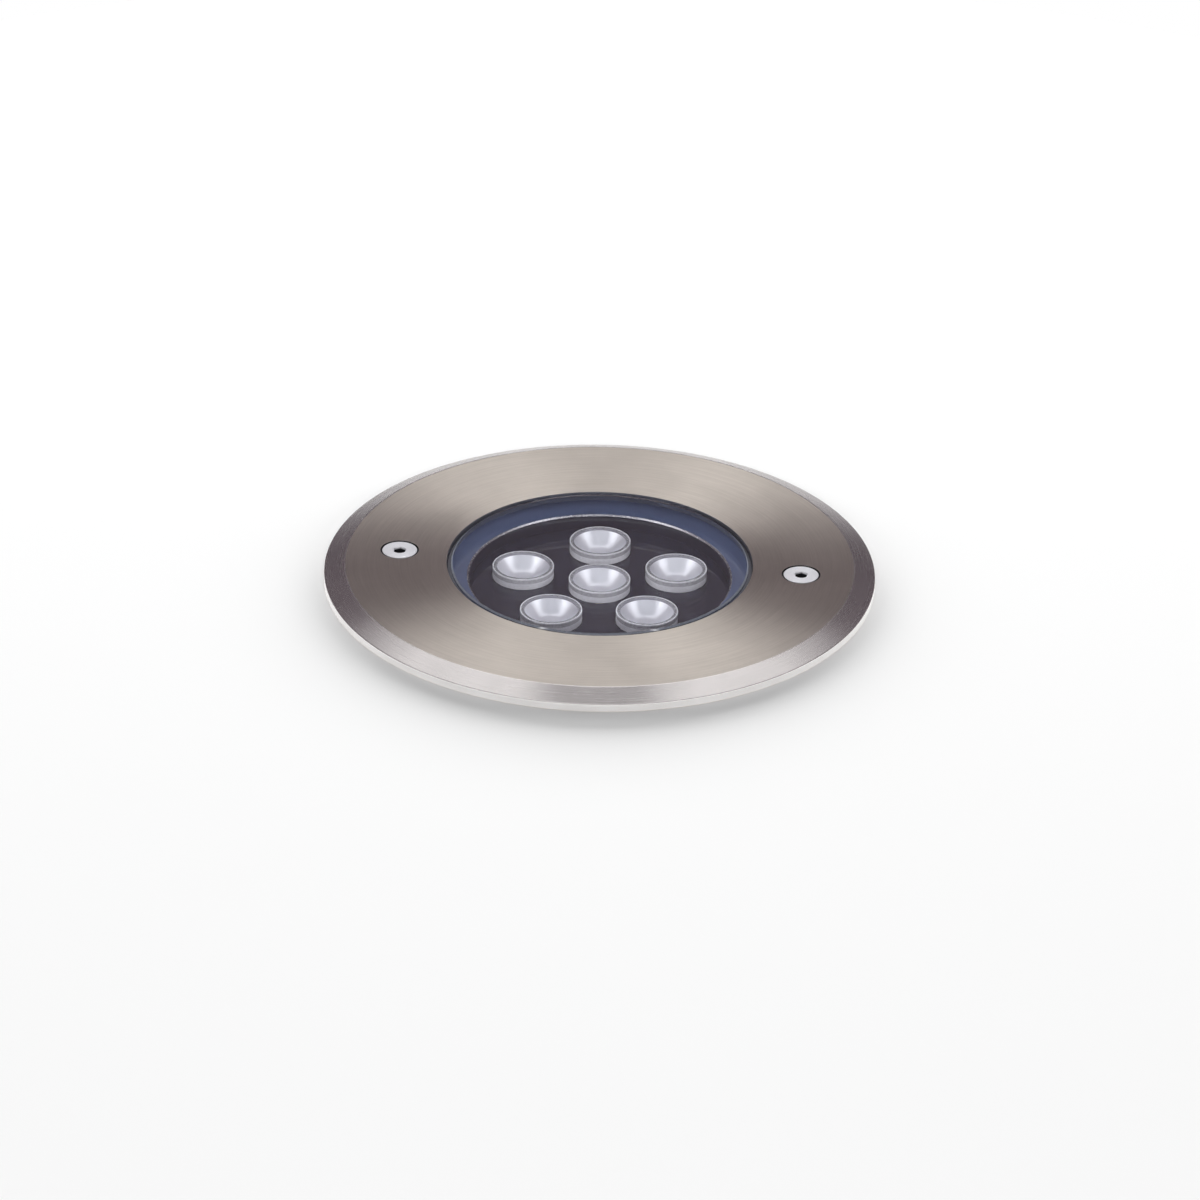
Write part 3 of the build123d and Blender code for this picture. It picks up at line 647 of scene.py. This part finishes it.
def inner_finishes():
    """Finishes of the CAD nodes that stay, by material slot: name, colour, roughness and grain."""
    tint = colours()
    return {
        "black_plate": glossy_plate("Glossy plate", tint.plate),
        "cast_aluminium": moulded(
            "Die casting", tint.cast, 0.42, COARSE_GRAIN, relief=0.06 * MM, metallic=1.0, contrast=0.14
        ),
        "sleeve_black": moulded("Moulded sleeve", tint.sleeve, 0.45, 1100.0, relief=0.05 * MM),
        "black_silicone": moulded("Black seal", tint.socket, 0.6, relief=0.02 * MM),
        "board_white": circuit_board("White board", (0.8, 0.81, 0.79), (0.7, 0.72, 0.7)),
        "driver_green": circuit_board("Driver board", (0.03, 0.17, 0.08), (0.07, 0.27, 0.13)),
        "thermal_pad": moulded("Thermal pad", (0.42, 0.47, 0.52), 0.8, MEDIUM_GRAIN, relief=0.03 * MM),
        "zinc_steel": moulded("Zinc plating", (0.66, 0.67, 0.69), 0.32, metallic=1.0, contrast=0.05),
        "nickel_brass": moulded(
            "Nickel plating", (0.55, 0.53, 0.49), 0.3, MEDIUM_GRAIN, metallic=1.0, contrast=0.08
        ),
        "brass": moulded("Brass", (0.72, 0.52, 0.24), 0.3, relief=0.02 * MM, metallic=1.0, contrast=0.06),
        "retainer_nylon": moulded("Nylon", (0.80, 0.79, 0.74), 0.5),
        "led_window": moulded("LED window", (0.86, 0.74, 0.30), 0.3),
        "ferrite": moulded("Ferrite", (0.06, 0.06, 0.065), 0.6, MEDIUM_GRAIN, relief=0.03 * MM),
        "capacitor_can": moulded("Shrink sleeve", (0.03, 0.03, 0.05), 0.3, 700.0),
        "terminal_grey": moulded("Terminal plastic", (0.5, 0.52, 0.5), 0.5, MEDIUM_GRAIN, relief=0.02 * MM),
        "lead_red": moulded("Red wire", (0.55, 0.04, 0.03), 0.4),
        "lead_black": moulded("Black wire", (0.03, 0.03, 0.03), 0.4),
        "lead_green": moulded("Earth wire", (0.20, 0.45, 0.06), 0.4),
    }


# Operators

# Faces round the floor and the dome, and the dome's rings and lowest degree
FLOOR_STEPS = 128
DOME_STEPS = 96
DOME_RINGS = 24
DOME_FOOT = 1
# Shares of the dome's reach: its near and far sides, and how far out the cards hang
NEAR_SIDE = -0.75
FAR_SIDE = 0.5
CARD_SHARE = 0.85
# How far up a face looks: level, nearly level, sloping, upright and slightly down
LEVEL = 0.999
NEARLY_LEVEL = 0.9
SLOPING = 0.5
UPRIGHT = 0.2
UNDERSIDE = -0.1
# Width of the camera's sensor in millimetres
SENSOR = 36


class GROUND_LIGHT_OT_effects(bpy.types.Operator):
    """Build the node groups that the finishes share"""

    bl_idname = "ground_light.effects"
    bl_label = "Shared effects"

    def execute(self, context):
        make_brushing()
        make_grain()
        make_dust()
        return {"FINISHED"}


class GROUND_LIGHT_OT_trim_ring(bpy.types.Operator):
    """Model the turned steel ring with its two countersunk holes"""

    bl_idname = "ground_light.trim_ring"
    bl_label = "Trim ring"

    def execute(self, context):
        size, tint = sizes(), colours()
        outer, top, bottom = high("trim_ring").x, high("trim_ring").z, low("trim_ring").z
        ledge = high("sleeve").z
        rebate = high("sleeve").x + size.rebate_gap
        soft = size.ring_edge
        ring = turned(
            size.steps,
            (size.opening, ledge), (rebate, ledge), (rebate, bottom), (outer, bottom, soft),
            (outer, size.rim, soft), (outer - size.chamfer, top, soft),
            (size.opening, top, size.opening_edge),
        )
        places = [middle("captive_screw_" + side) for side in SIDES]
        clear = size.sink - size.sink_hole
        sinks = []
        for place in places:
            sink = turned(
                size.small_steps,
                (0, bottom - clear), (size.sink_hole, bottom - clear), (size.sink_hole, top - clear),
                (size.sink + clear, top + clear), (0, top + clear),
            )
            sinks.append(moved(sink, place))
        ring = carved(ring, sinks)
        for face in ring.faces:
            face.material_index = self.zone(face, size, places, outer)
        finishes = [
            turned_steel("Turned steel", tint.steel, Vector(), roughness=0.38, stretch=0.97),
            # Bored steel of the opening's wall, tinted darker as painted shade
            moulded("Bored steel", tint.bore, roughness=0.45, metallic=1.0),
            moulded("Polished rim", tint.rim, roughness=0.2, relief=0.005 * MM, metallic=1.0, contrast=0.04),
            turned_steel("Turned chamfer", tint.slope, Vector(), roughness=0.26, stretch=0.85, depth=0.4),
            # Near-black painted shade in the countersunk screw holes
            moulded("Screw holes", tint.socket, roughness=0.4, metallic=0.5),
        ]
        piece("steel_ring", ring, finishes, "lamp", ["trim_ring"])
        return {"FINISHED"}

    def zone(self, face, size, places, outer):
        """The finish of a face: 0 the flat, 1 the bore, darkened as painted shade, 2 the rim, 3 the chamfer,
        4 a screw hole, painted near-black as shade.
        """
        centre = face.calc_center_median()
        radius = centre.xy.length
        steep = face.normal.z < NEARLY_LEVEL
        if steep and any((centre - place).xy.length < size.sink for place in places):
            return 4
        if steep and radius < size.opening + size.opening_edge / 4:
            return 1
        if radius > outer - size.ring_edge and abs(face.normal.z) < SLOPING:
            return 2
        on_border = radius > outer - size.chamfer - size.ring_edge
        return 3 if on_border and SLOPING < face.normal.z < LEVEL else 0


class GROUND_LIGHT_OT_screws(bpy.types.Operator):
    """Model the captive screws: countersunk heads, hexagon sockets and threads"""

    bl_idname = "ground_light.screws"
    bl_label = "Captive screws"

    def execute(self, context):
        size, tint = sizes(), colours()
        half = size.pitch / 2
        edge, soft = size.ring_edge / 2, size.ring_edge / 3
        core = size.shank - THREAD_DEPTH * size.pitch
        flare = size.key / math.sqrt(3) + size.key_edge
        for side in SIDES:
            name = "captive_screw_" + side
            top, tip = high(name).z, low(name).z
            head = (high(name).y - low(name).y) / 2
            run = tip + size.thread
            screw = turned(
                size.small_steps,
                (0, tip), (core - half, tip), (core, tip + half), (core, run), (size.shank, run + half),
                (size.shank, top - head + size.shank), (head, top - edge, soft), (head - edge, top, soft),
                (0, top),
            )
            above = top + flare / 2
            socket = hexagon(size.key, top - size.key_depth, top + size.key_depth)
            lead_in = turned(LEAD_IN_STEPS, (0, top - flare), (flare * 1.5, above), (0, above))
            screw = carved(screw, [socket, lead_in])
            turns = int((size.thread - size.pitch) / size.pitch)
            thread_ridge(screw, core, size.shank, size.pitch, tip + half, turns)
            # The socket's floor and its walls below a depth get a near-black finish: painted shade in the
            # socket
            walls = [face for face in screw.faces if self.in_socket(face, flare, run)]
            parts = dict.fromkeys(part for face in walls for part in (face, *face.edges, *face.verts))
            shade_level = top - size.socket_shade_depth
            bmesh.ops.bisect_plane(screw, geom=list(parts), plane_co=(0, 0, shade_level), plane_no=(0, 0, 1))
            for face in screw.faces:
                deep = face.calc_center_median().z < shade_level
                face.material_index = int(deep and self.in_socket(face, flare, run))
            bright = turned_steel(
                "Screw steel " + side, tint.screw, middle(name), roughness=0.35, stretch=0.3, metallic=0.5
            )
            # Near-black painted shade for the depths of the socket
            dark = moulded("Key socket " + side, tint.socket, roughness=0.5)
            moved(screw, middle(name))
            piece("screw_" + side, screw, [bright, dark], side + "_screw", [name])
        return {"FINISHED"}

    def in_socket(self, face, reach, shank_top):
        """Whether a face belongs to the walls or the floor of the key's socket."""
        centre = face.calc_center_median()
        wall_or_floor = abs(face.normal.z) < UPRIGHT or face.normal.z > NEARLY_LEVEL
        return centre.z > shank_top and centre.xy.length < reach and wall_or_floor


class GROUND_LIGHT_OT_glass(bpy.types.Operator):
    """Model the stepped glass with its bevelled edge"""

    bl_idname = "ground_light.glass"
    bl_label = "Glass"

    def execute(self, context):
        size = sizes()
        flange, bottom, step = high("glass").x, low("glass").z, low("upper_gasket").z
        top = high("glass").z + size.glass_rise
        bevel = size.glass_bevel
        soft = bevel / 8
        glass = turned(
            size.steps,
            (0, bottom), (flange, bottom, soft), (flange, step, soft), (size.glass, step),
            (size.glass, top - bevel, soft), (size.glass - bevel, top, soft), (0, top),
        )
        for face in glass.faces:
            place = face.calc_center_median()
            face.material_index = int(place.z > top - bevel and place.xy.length > size.glass - bevel)
        finish = clear_finish("Tempered glass", colours().glass, index=1.5, roughness=0.0)
        ground = frosted("Ground bevel", colours().glass_edge, thinnest=0.55, thickest=0.75)
        piece("cover_glass", glass, [finish, ground], "lamp", ["glass"])
        return {"FINISHED"}


class GROUND_LIGHT_OT_gaskets(bpy.types.Operator):
    """Model the gaskets over and under the glass, and the bead at the window's edge"""

    bl_idname = "ground_light.gaskets"
    bl_label = "Gaskets"

    def execute(self, context):
        size, tint = sizes(), colours()
        flange, step = high("upper_gasket").x, low("upper_gasket").z
        lip_top, ledge = high("upper_gasket").z, high("sleeve").z
        inner, lip = size.glass - size.gasket_gap, size.opening - size.gasket_gap
        soft = (lip - inner) / 4
        band = lip_top - size.lip_band
        upper = turned(
            size.steps,
            (inner, step), (flange, step), (flange, ledge), (lip, ledge), (lip, lip_top, soft),
            (inner, lip_top, soft), (inner, band),
        )
        for side in upper.faces:
            centre = side.calc_center_median()
            side.material_index = int(centre.xy.length < inner + soft / 2 and centre.z < band)
        black = moulded("Black gasket", tint.black_rubber, roughness=0.55, relief=0.02 * MM)
        below = moulded("Blue lip", tint.blue_lip, roughness=0.5, relief=0.02 * MM)
        piece("upper_seal", upper, [black, below], "lamp", ["upper_gasket"])
        seat, face = low("lower_gasket").z, high("lower_gasket").z - size.gasket_gap
        window, mouth = size.window, size.window + size.bead
        slope = face - size.bead
        lower = turned(
            size.steps, (window, seat), (flange, seat), (flange, face), (mouth, face), (window, slope)
        )
        # The gasket is painted lighter towards its outer edge, as painted light against the ring's shade
        blue = shaded_rubber("Blue gasket", tint.blue_rubber, tint.blue_outer_painted_light, window, size.opening)
        piece("lower_seal", lower, [blue], "lamp", ["lower_gasket"])
        floor = high(LENS_NODES[0]).z - size.lens_stand
        wall = window - size.bead_wall
        lining = turned(
            size.steps,
            (wall, floor), (window, floor), (window, slope), (mouth, face), (wall + size.bead, face),
            (wall, slope),
        )
        for side in lining.faces:
            side.material_index = int(side.calc_center_median().z < slope)
        pale = moulded("Pale bead", tint.bead, roughness=0.25, metallic=0.8, contrast=0.04)
        dark = moulded("Dark lining", tint.plate, roughness=0.4)
        piece("window_lining", lining, [pale, dark], "lamp")
        return {"FINISHED"}


class GROUND_LIGHT_OT_lenses(bpy.types.Operator):
    """Model the six lenses: a clear body with a pleated silvery bowl, and its frosted skirt, side and rim"""

    bl_idname = "ground_light.lenses"
    bl_label = "Lenses"

    def execute(self, context):
        size, tint = sizes(), colours()
        clear = clear_finish("Clear acrylic", tint.acrylic, index=1.49, roughness=0.02)
        silver = silver_bowl("Silver bowl", tint.bowl)
        grey = moulded("Bowl collar", tint.collar, roughness=0.3)
        dark = moulded("Bowl back", tint.bowl_back_shade, roughness=0.3)
        foot = frosted("Frosted foot", tint.skirt, thinnest=0.85, thickest=1.0)
        edge = frosted("Frosted rim", tint.skirt, thinnest=0.85, thickest=1.0)
        haze = frosted("Hazy face", tint.skirt, thinnest=0.12, thickest=0.34)
        side = frosted("Hazy side", tint.skirt, thinnest=0.34, thickest=0.56)
        outer = size.lens + size.lens_proud
        inner = outer - size.lens_rim
        for name in LENS_NODES:
            place, top = middle(name), high(name).z
            self.body(size, name, clear)
            rim = top - size.bowl_drop
            bowl = turned(2 * size.pleats, *self.bowl_section(size, rim))
            self.pleat(bowl, size)
            for face in bowl.faces:
                centre = face.calc_center_median()
                # Faces on the bowl's back take the dark grey: painted shade for the dim view through the
                # lens's side
                outward = face.normal.xy.dot(centre.xy) > 0 or face.normal.z < UNDERSIDE
                face.material_index = 1 if outward else 2 if centre.z > rim else 0
            finishes = [silver, dark, grey]
            piece(name + "_bowl", moved(bowl, place), finishes, "lamp", crease=PLEAT_CREASE)
            plate, under = top - size.lens_stand, top - size.lens_rim
            brim = plate + size.skirt_height
            for part, finish, *shape in (
                ("_skirt", foot, outer, size.skirt_wall, plate, brim),
                ("_rim", edge, outer, size.lens_rim, under, top + size.lens_proud),
                ("_face", haze, inner, inner - size.bowl, under, under + size.bowl_wall),
                ("_side", side, outer, size.side_wall, brim, under),
            ):
                ring = self.ring(size.small_steps, *shape)
                piece(name + part, moved(ring, place), [finish], "lamp")
        return {"FINISHED"}

    def ring(self, steps, radius, wall, bottom, top):
        """A plain ring with soft upper edges."""
        inner = radius - wall
        soft = min(wall, top - bottom) / 4
        return turned(steps, (inner, bottom), (radius, bottom), (radius, top, soft), (inner, top, soft))

    def body(self, size, name, finish):
        """The clear body of one lens, open above its bowl and over its LED."""
        top, foot = high(name).z, low(name).z
        lip = (high(name).x - low(name).x) / 2
        shoulder = foot + (size.lens - size.lens_foot) + size.lens_lip / 2
        seat = shoulder + size.lens_lip
        recess = foot + size.lens_recess_depth
        mouth = size.bowl + 2 * size.bowl_wall
        rim = top - size.bowl_drop - 4 * size.bowl_wall
        floor = rim - size.bowl_depth
        body = turned(
            size.small_steps,
            (0, floor), (size.bowl_floor, floor), (mouth, rim), (mouth, top),
            (size.lens, top, size.lens_edge), (size.lens, seat), (lip, seat), (lip, shoulder),
            (size.lens - size.lens_edge, shoulder),
            (size.lens_foot, foot), (size.lens_recess, foot), (size.lens_recess, recess), (0, recess),
        )
        piece(name + "_body", moved(body, middle(name)), [finish], "lamp", [name])

    def bowl_section(self, size, rim):
        """Corners of the bowl: a dish with a short collar, and its back a wall's thickness outside."""
        dish = [(0, rim - size.bowl_depth)]
        for share in (i / BOWL_STEPS for i in range(BOWL_STEPS + 1)):
            radius = size.bowl_floor + (size.bowl - size.bowl_floor) * share
            dish.append((radius, rim - size.bowl_depth * (1 - share ** size.bowl_curve)))
        back = [(radius, level - size.bowl_wall) for radius, level in reversed(dish[:-1])]
        collar, outer = rim + size.collar, size.bowl + size.bowl_wall
        return dish + [(size.bowl, collar), (outer, collar), (outer, rim - size.bowl_wall)] + back

    def pleat(self, bowl, size):
        """Draw every other line of the bowl inwards."""
        step = math.tau / (2 * size.pleats)
        walls = [vert for vert in bowl.verts if vert.co.xy.length > size.bowl / 4]
        folds = [vert for vert in walls if round(math.atan2(vert.co.y, vert.co.x) / step) % 2]
        inward = 1 - size.pleat_depth
        bmesh.ops.scale(bowl, vec=(inward, inward, 1), verts=folds)


class GROUND_LIGHT_OT_inner_parts(bpy.types.Operator):
    """Give the CAD nodes that stay in view their finishes"""

    bl_idname = "ground_light.inner_parts"
    bl_label = "Inner parts and sleeve"

    def execute(self, context):
        finishes = inner_finishes()
        for part in frame["record"]["subparts"]:
            finish = finishes.get(part["material_slot"])
            if finish:
                data = frame["nodes"][part["node"]].data
                data.materials.clear()
                data.materials.append(finish)
        return {"FINISHED"}


class GROUND_LIGHT_OT_stage(bpy.types.Operator):
    """Set up the floor, the surroundings, the lamps and the camera"""

    bl_idname = "ground_light.stage"
    bl_label = "Floor, lamps and camera"

    def execute(self, context):
        stage = context.scene.ground_light_stage
        context.scene.view_settings.view_transform = "Standard"
        self.floor(stage)
        self.dome(stage)
        self.cards(stage)
        self.sky(context.scene, stage)
        self.lamps(stage)
        self.camera(context.scene, stage)
        return {"FINISHED"}

    def seen(self, tree):
        """One where a ray shows a picture of the surroundings, and nought where it only lights a surface."""
        path = node(tree, "LightPath").outputs
        shown = calc(tree, "MAXIMUM", path["Is Camera Ray"], path["Is Glossy Ray"])
        return calc(tree, "MAXIMUM", shown, path["Is Transmission Ray"])

    def floor(self, stage):
        """The pale floor with the hole that the sleeve stands in."""
        sheet = bmesh.new()
        ends = [sheet.verts.new((radius, 0, 0)) for radius in (stage.hole, stage.floor_reach)]
        full_turn(sheet, ends + [sheet.edges.new(ends)], FLOOR_STEPS)
        bmesh.ops.recalc_face_normals(sheet, faces=sheet.faces)
        floor = to_object("floor", sheet)
        finish, tree, shader, grain = grained_finish("Pale floor", scale=300.0)
        tint = colours().floor
        mirrored = calc(tree, "MULTIPLY", node(tree, "LightPath").outputs["Is Glossy Ray"], stage.mirror_glow)
        own = calc(tree, "MULTIPLY", self.seen(tree), stage.floor_glow)
        fill(
            tree,
            shader,
            Base_Color=blend(tree, grain["Shade"], shade(tint, 0.995), shade(tint, 1.0)),
            Roughness=1.0,
            Specular_IOR_Level=0.0,
            Emission_Color=WHITE,
            Emission_Strength=calc(tree, "MAXIMUM", own, mirrored),
        )
        floor.data.materials.append(finish)
        floor.visible_shadow = False

    def mirrored(self, name, mesh, tint, strength):
        """Part of the surroundings that only steel and glass mirror."""
        made = to_object(name, mesh)
        finish = bpy.data.materials.new("Light of " + name)
        finish.use_nodes = True
        tree = finish.node_tree
        tree.nodes.remove(tree.nodes["Principled BSDF"])
        glow = fill(tree, node(tree, "Emission"), Color=tint, Strength=strength)
        fill(tree, tree.nodes["Material Output"], Surface=glow.outputs[0])
        made.data.materials.append(finish)
        made.visible_camera = made.visible_diffuse = made.visible_shadow = False
        return made, tree, glow

    def dome(self, stage):
        """A dome round the set: darkest low down, and bright from about the middle upwards."""
        reach = stage.dome_reach
        angles = [math.radians(DOME_FOOT + (90 - DOME_FOOT) * i / DOME_RINGS) for i in range(DOME_RINGS)]
        section = [(reach * math.cos(angle), reach * math.sin(angle)) for angle in angles]
        mesh = turned(DOME_STEPS, *section, (0, reach))
        dome, tree, glow = self.mirrored("studio_dome", mesh, WHITE, stage.dome_level)
        dome.data.shade_smooth()
        place = fill(tree, node(tree, "SeparateXYZ"), node(tree, "TexCoord").outputs["Object"]).outputs
        ramp = fill(tree, node(tree, "ValToRGB"), calc(tree, "DIVIDE", place["Z"], reach))
        ramp.color_ramp.elements.new(0.5)
        stops = (
            (stage.horizon_to, shade(colours().horizon, 1 / stage.dome_level)),
            (stage.shade_to, shade(colours().shade, 1 / stage.dome_level)),
            (stage.bright_from, WHITE),
        )
        for element, (elevation, brightness) in zip(ramp.color_ramp.elements, stops):
            element.position = math.sin(elevation)
            element.color = brightness
        near, far = NEAR_SIDE * reach, FAR_SIDE * reach
        gain = span(tree, place["Y"], near, far, stage.near_gain, stage.far_gain)
        inside = calc(tree, "MULTIPLY", gain, stage.dome_level)
        through = node(tree, "LightPath").outputs["Is Transmission Ray"]
        strength = span(tree, through, 0.0, 1.0, stage.dome_level, inside)
        fill(tree, glow, Color=ramp.outputs[0], Strength=strength)

    def cards(self, stage):
        """A white card behind and a dark one overhead for the steel, and a grey one for the lenses."""
        dark = shade(colours().overhead, 1.0)
        cool = (0.92, 0.95, 1.0, 1.0)
        for name, elevation, wide, deep, tint, strength, through in (
            ("white_card", 40.0, 0.36, 0.3, WHITE, stage.card_level, False),
            ("dark_card", 69.0, 0.34, 0.56, dark, 1.0, False),
            ("lens_card", 92.0, 1.4, 1.4, cool, stage.lens_card, True),
        ):
            mesh = bmesh.new()
            bmesh.ops.create_grid(mesh, x_segments=1, y_segments=1, size=0.5)
            bmesh.ops.scale(mesh, vec=(wide, deep, 1), verts=mesh.verts)
            bmesh.ops.translate(mesh, vec=(0, 0, -CARD_SHARE * stage.dome_reach), verts=mesh.verts)
            tilt = Matrix.Rotation(math.radians(90 + elevation), 3, "X")
            aim = Matrix.Rotation(stage.azimuth, 3, "Z") @ tilt
            bmesh.ops.rotate(mesh, cent=(0, 0, 0), matrix=aim, verts=mesh.verts)
            card = self.mirrored(name, mesh, tint, strength)[0]
            card.visible_transmission = through
            card.visible_glossy = not through

    def sky(self, scene, stage):
        """White surroundings that throw a plain level of light."""
        world = bpy.data.worlds.new("Studio")
        scene.world = world
        world.use_nodes = True
        world.cycles.sampling_method = "NONE"
        tree = world.node_tree
        strength = span(tree, self.seen(tree), 0.0, 1.0, stage.sky_level, 1.0)
        fill(tree, tree.nodes["Background"], Color=WHITE, Strength=strength)

    def lamps(self, stage):
        """Soft lights overhead and in front, and low ones behind and beside for the floor's shadow."""
        behind = Vector((-math.sin(stage.azimuth), math.cos(stage.azimuth), 0.0))
        for name, swing, away, up, wide, deep, watts in (
            ("top_light", 0.0, 0.0, 1.1, 0.9, 0.9, stage.top_power),
            ("front_light", 0.0, -1.45, 0.68, 0.8, 0.5, stage.front_power),
            ("back_light", 0.0, 2.5, 0.5, 3.6, 0.62, stage.back_power),
            ("left_light", 70.0, 2.5, 0.5, 1.6, 0.62, stage.side_power),
            ("right_light", -70.0, 2.5, 0.5, 1.6, 0.62, stage.side_power),
        ):
            light = bpy.data.lights.new(name, "AREA")
            light.shape = "RECTANGLE"
            light.size = wide
            light.size_y = deep
            light.energy = watts
            made = bpy.data.objects.new(name, light)
            place = Matrix.Rotation(math.radians(swing), 3, "Z") @ behind * away + Vector((0, 0, up))
            made.matrix_world = Matrix.Translation(place) @ self.facing(-place)
            made.visible_glossy = made.visible_transmission = False
            bpy.context.scene.collection.objects.link(made)

    def facing(self, way):
        """The turn of a lamp or a camera that looks along a way."""
        return way.to_track_quat("-Z", "Y").to_matrix().to_4x4()

    def camera(self, scene, stage):
        """The camera at the photograph's angle."""
        turn, tilt = stage.azimuth, stage.elevation
        back = Vector((math.sin(turn) * math.cos(tilt), -math.cos(turn) * math.cos(tilt), math.sin(tilt)))
        look = self.facing(-back) @ Matrix.Rotation(stage.roll, 4, "Z")
        offset = look @ Vector((stage.drift, -stage.rise, 0))
        lens = bpy.data.cameras.new("Camera")
        lens.sensor_width = SENSOR
        lens.lens = stage.focal
        lens.clip_start = 10 * MM
        made = bpy.data.objects.new("Camera", lens)
        made.matrix_world = Matrix.Translation(back * stage.distance + offset) @ look
        scene.collection.objects.link(made)
        scene.camera = made


class GROUND_LIGHT_PT_pieces(bpy.types.Panel):
    """Lists the pieces of the light in the sidebar"""

    bl_label = "In-ground light"
    bl_idname = "GROUND_LIGHT_PT_pieces"
    bl_space_type = "VIEW_3D"
    bl_region_type = "UI"
    bl_category = "Ground light"

    def draw(self, context):
        for operator in OPERATORS:
            self.layout.operator(operator.bl_idname)
        for name in GROUPS:
            group = getattr(context.scene, name)
            box = self.layout.box()
            for key in group.__annotations__:
                box.prop(group, key)


OPERATORS = (
    GROUND_LIGHT_OT_effects,
    GROUND_LIGHT_OT_trim_ring,
    GROUND_LIGHT_OT_screws,
    GROUND_LIGHT_OT_glass,
    GROUND_LIGHT_OT_gaskets,
    GROUND_LIGHT_OT_lenses,
    GROUND_LIGHT_OT_inner_parts,
    GROUND_LIGHT_OT_stage,
)
GROUPS = {
    "ground_light_sizes": GroundLightSizes,
    "ground_light_colours": GroundLightColours,
    "ground_light_stage": GroundLightStage,
}


def register():
    """Add the classes and their settings."""
    for kind in (*GROUPS.values(), *OPERATORS, GROUND_LIGHT_PT_pieces):
        bpy.utils.register_class(kind)
    for key, group in GROUPS.items():
        setattr(bpy.types.Scene, key, PointerProperty(type=group))


def unregister():
    """Take the classes and their settings away."""
    for key in GROUPS:
        delattr(bpy.types.Scene, key)
    for kind in (GROUND_LIGHT_PT_pieces, *OPERATORS, *GROUPS.values()):
        bpy.utils.unregister_class(kind)


def main():
    """Build every piece."""
    register()
    for operator in OPERATORS:
        family, action = operator.bl_idname.split(".")
        getattr(getattr(bpy.ops, family), action)()


if __name__ == "__main__":
    main()
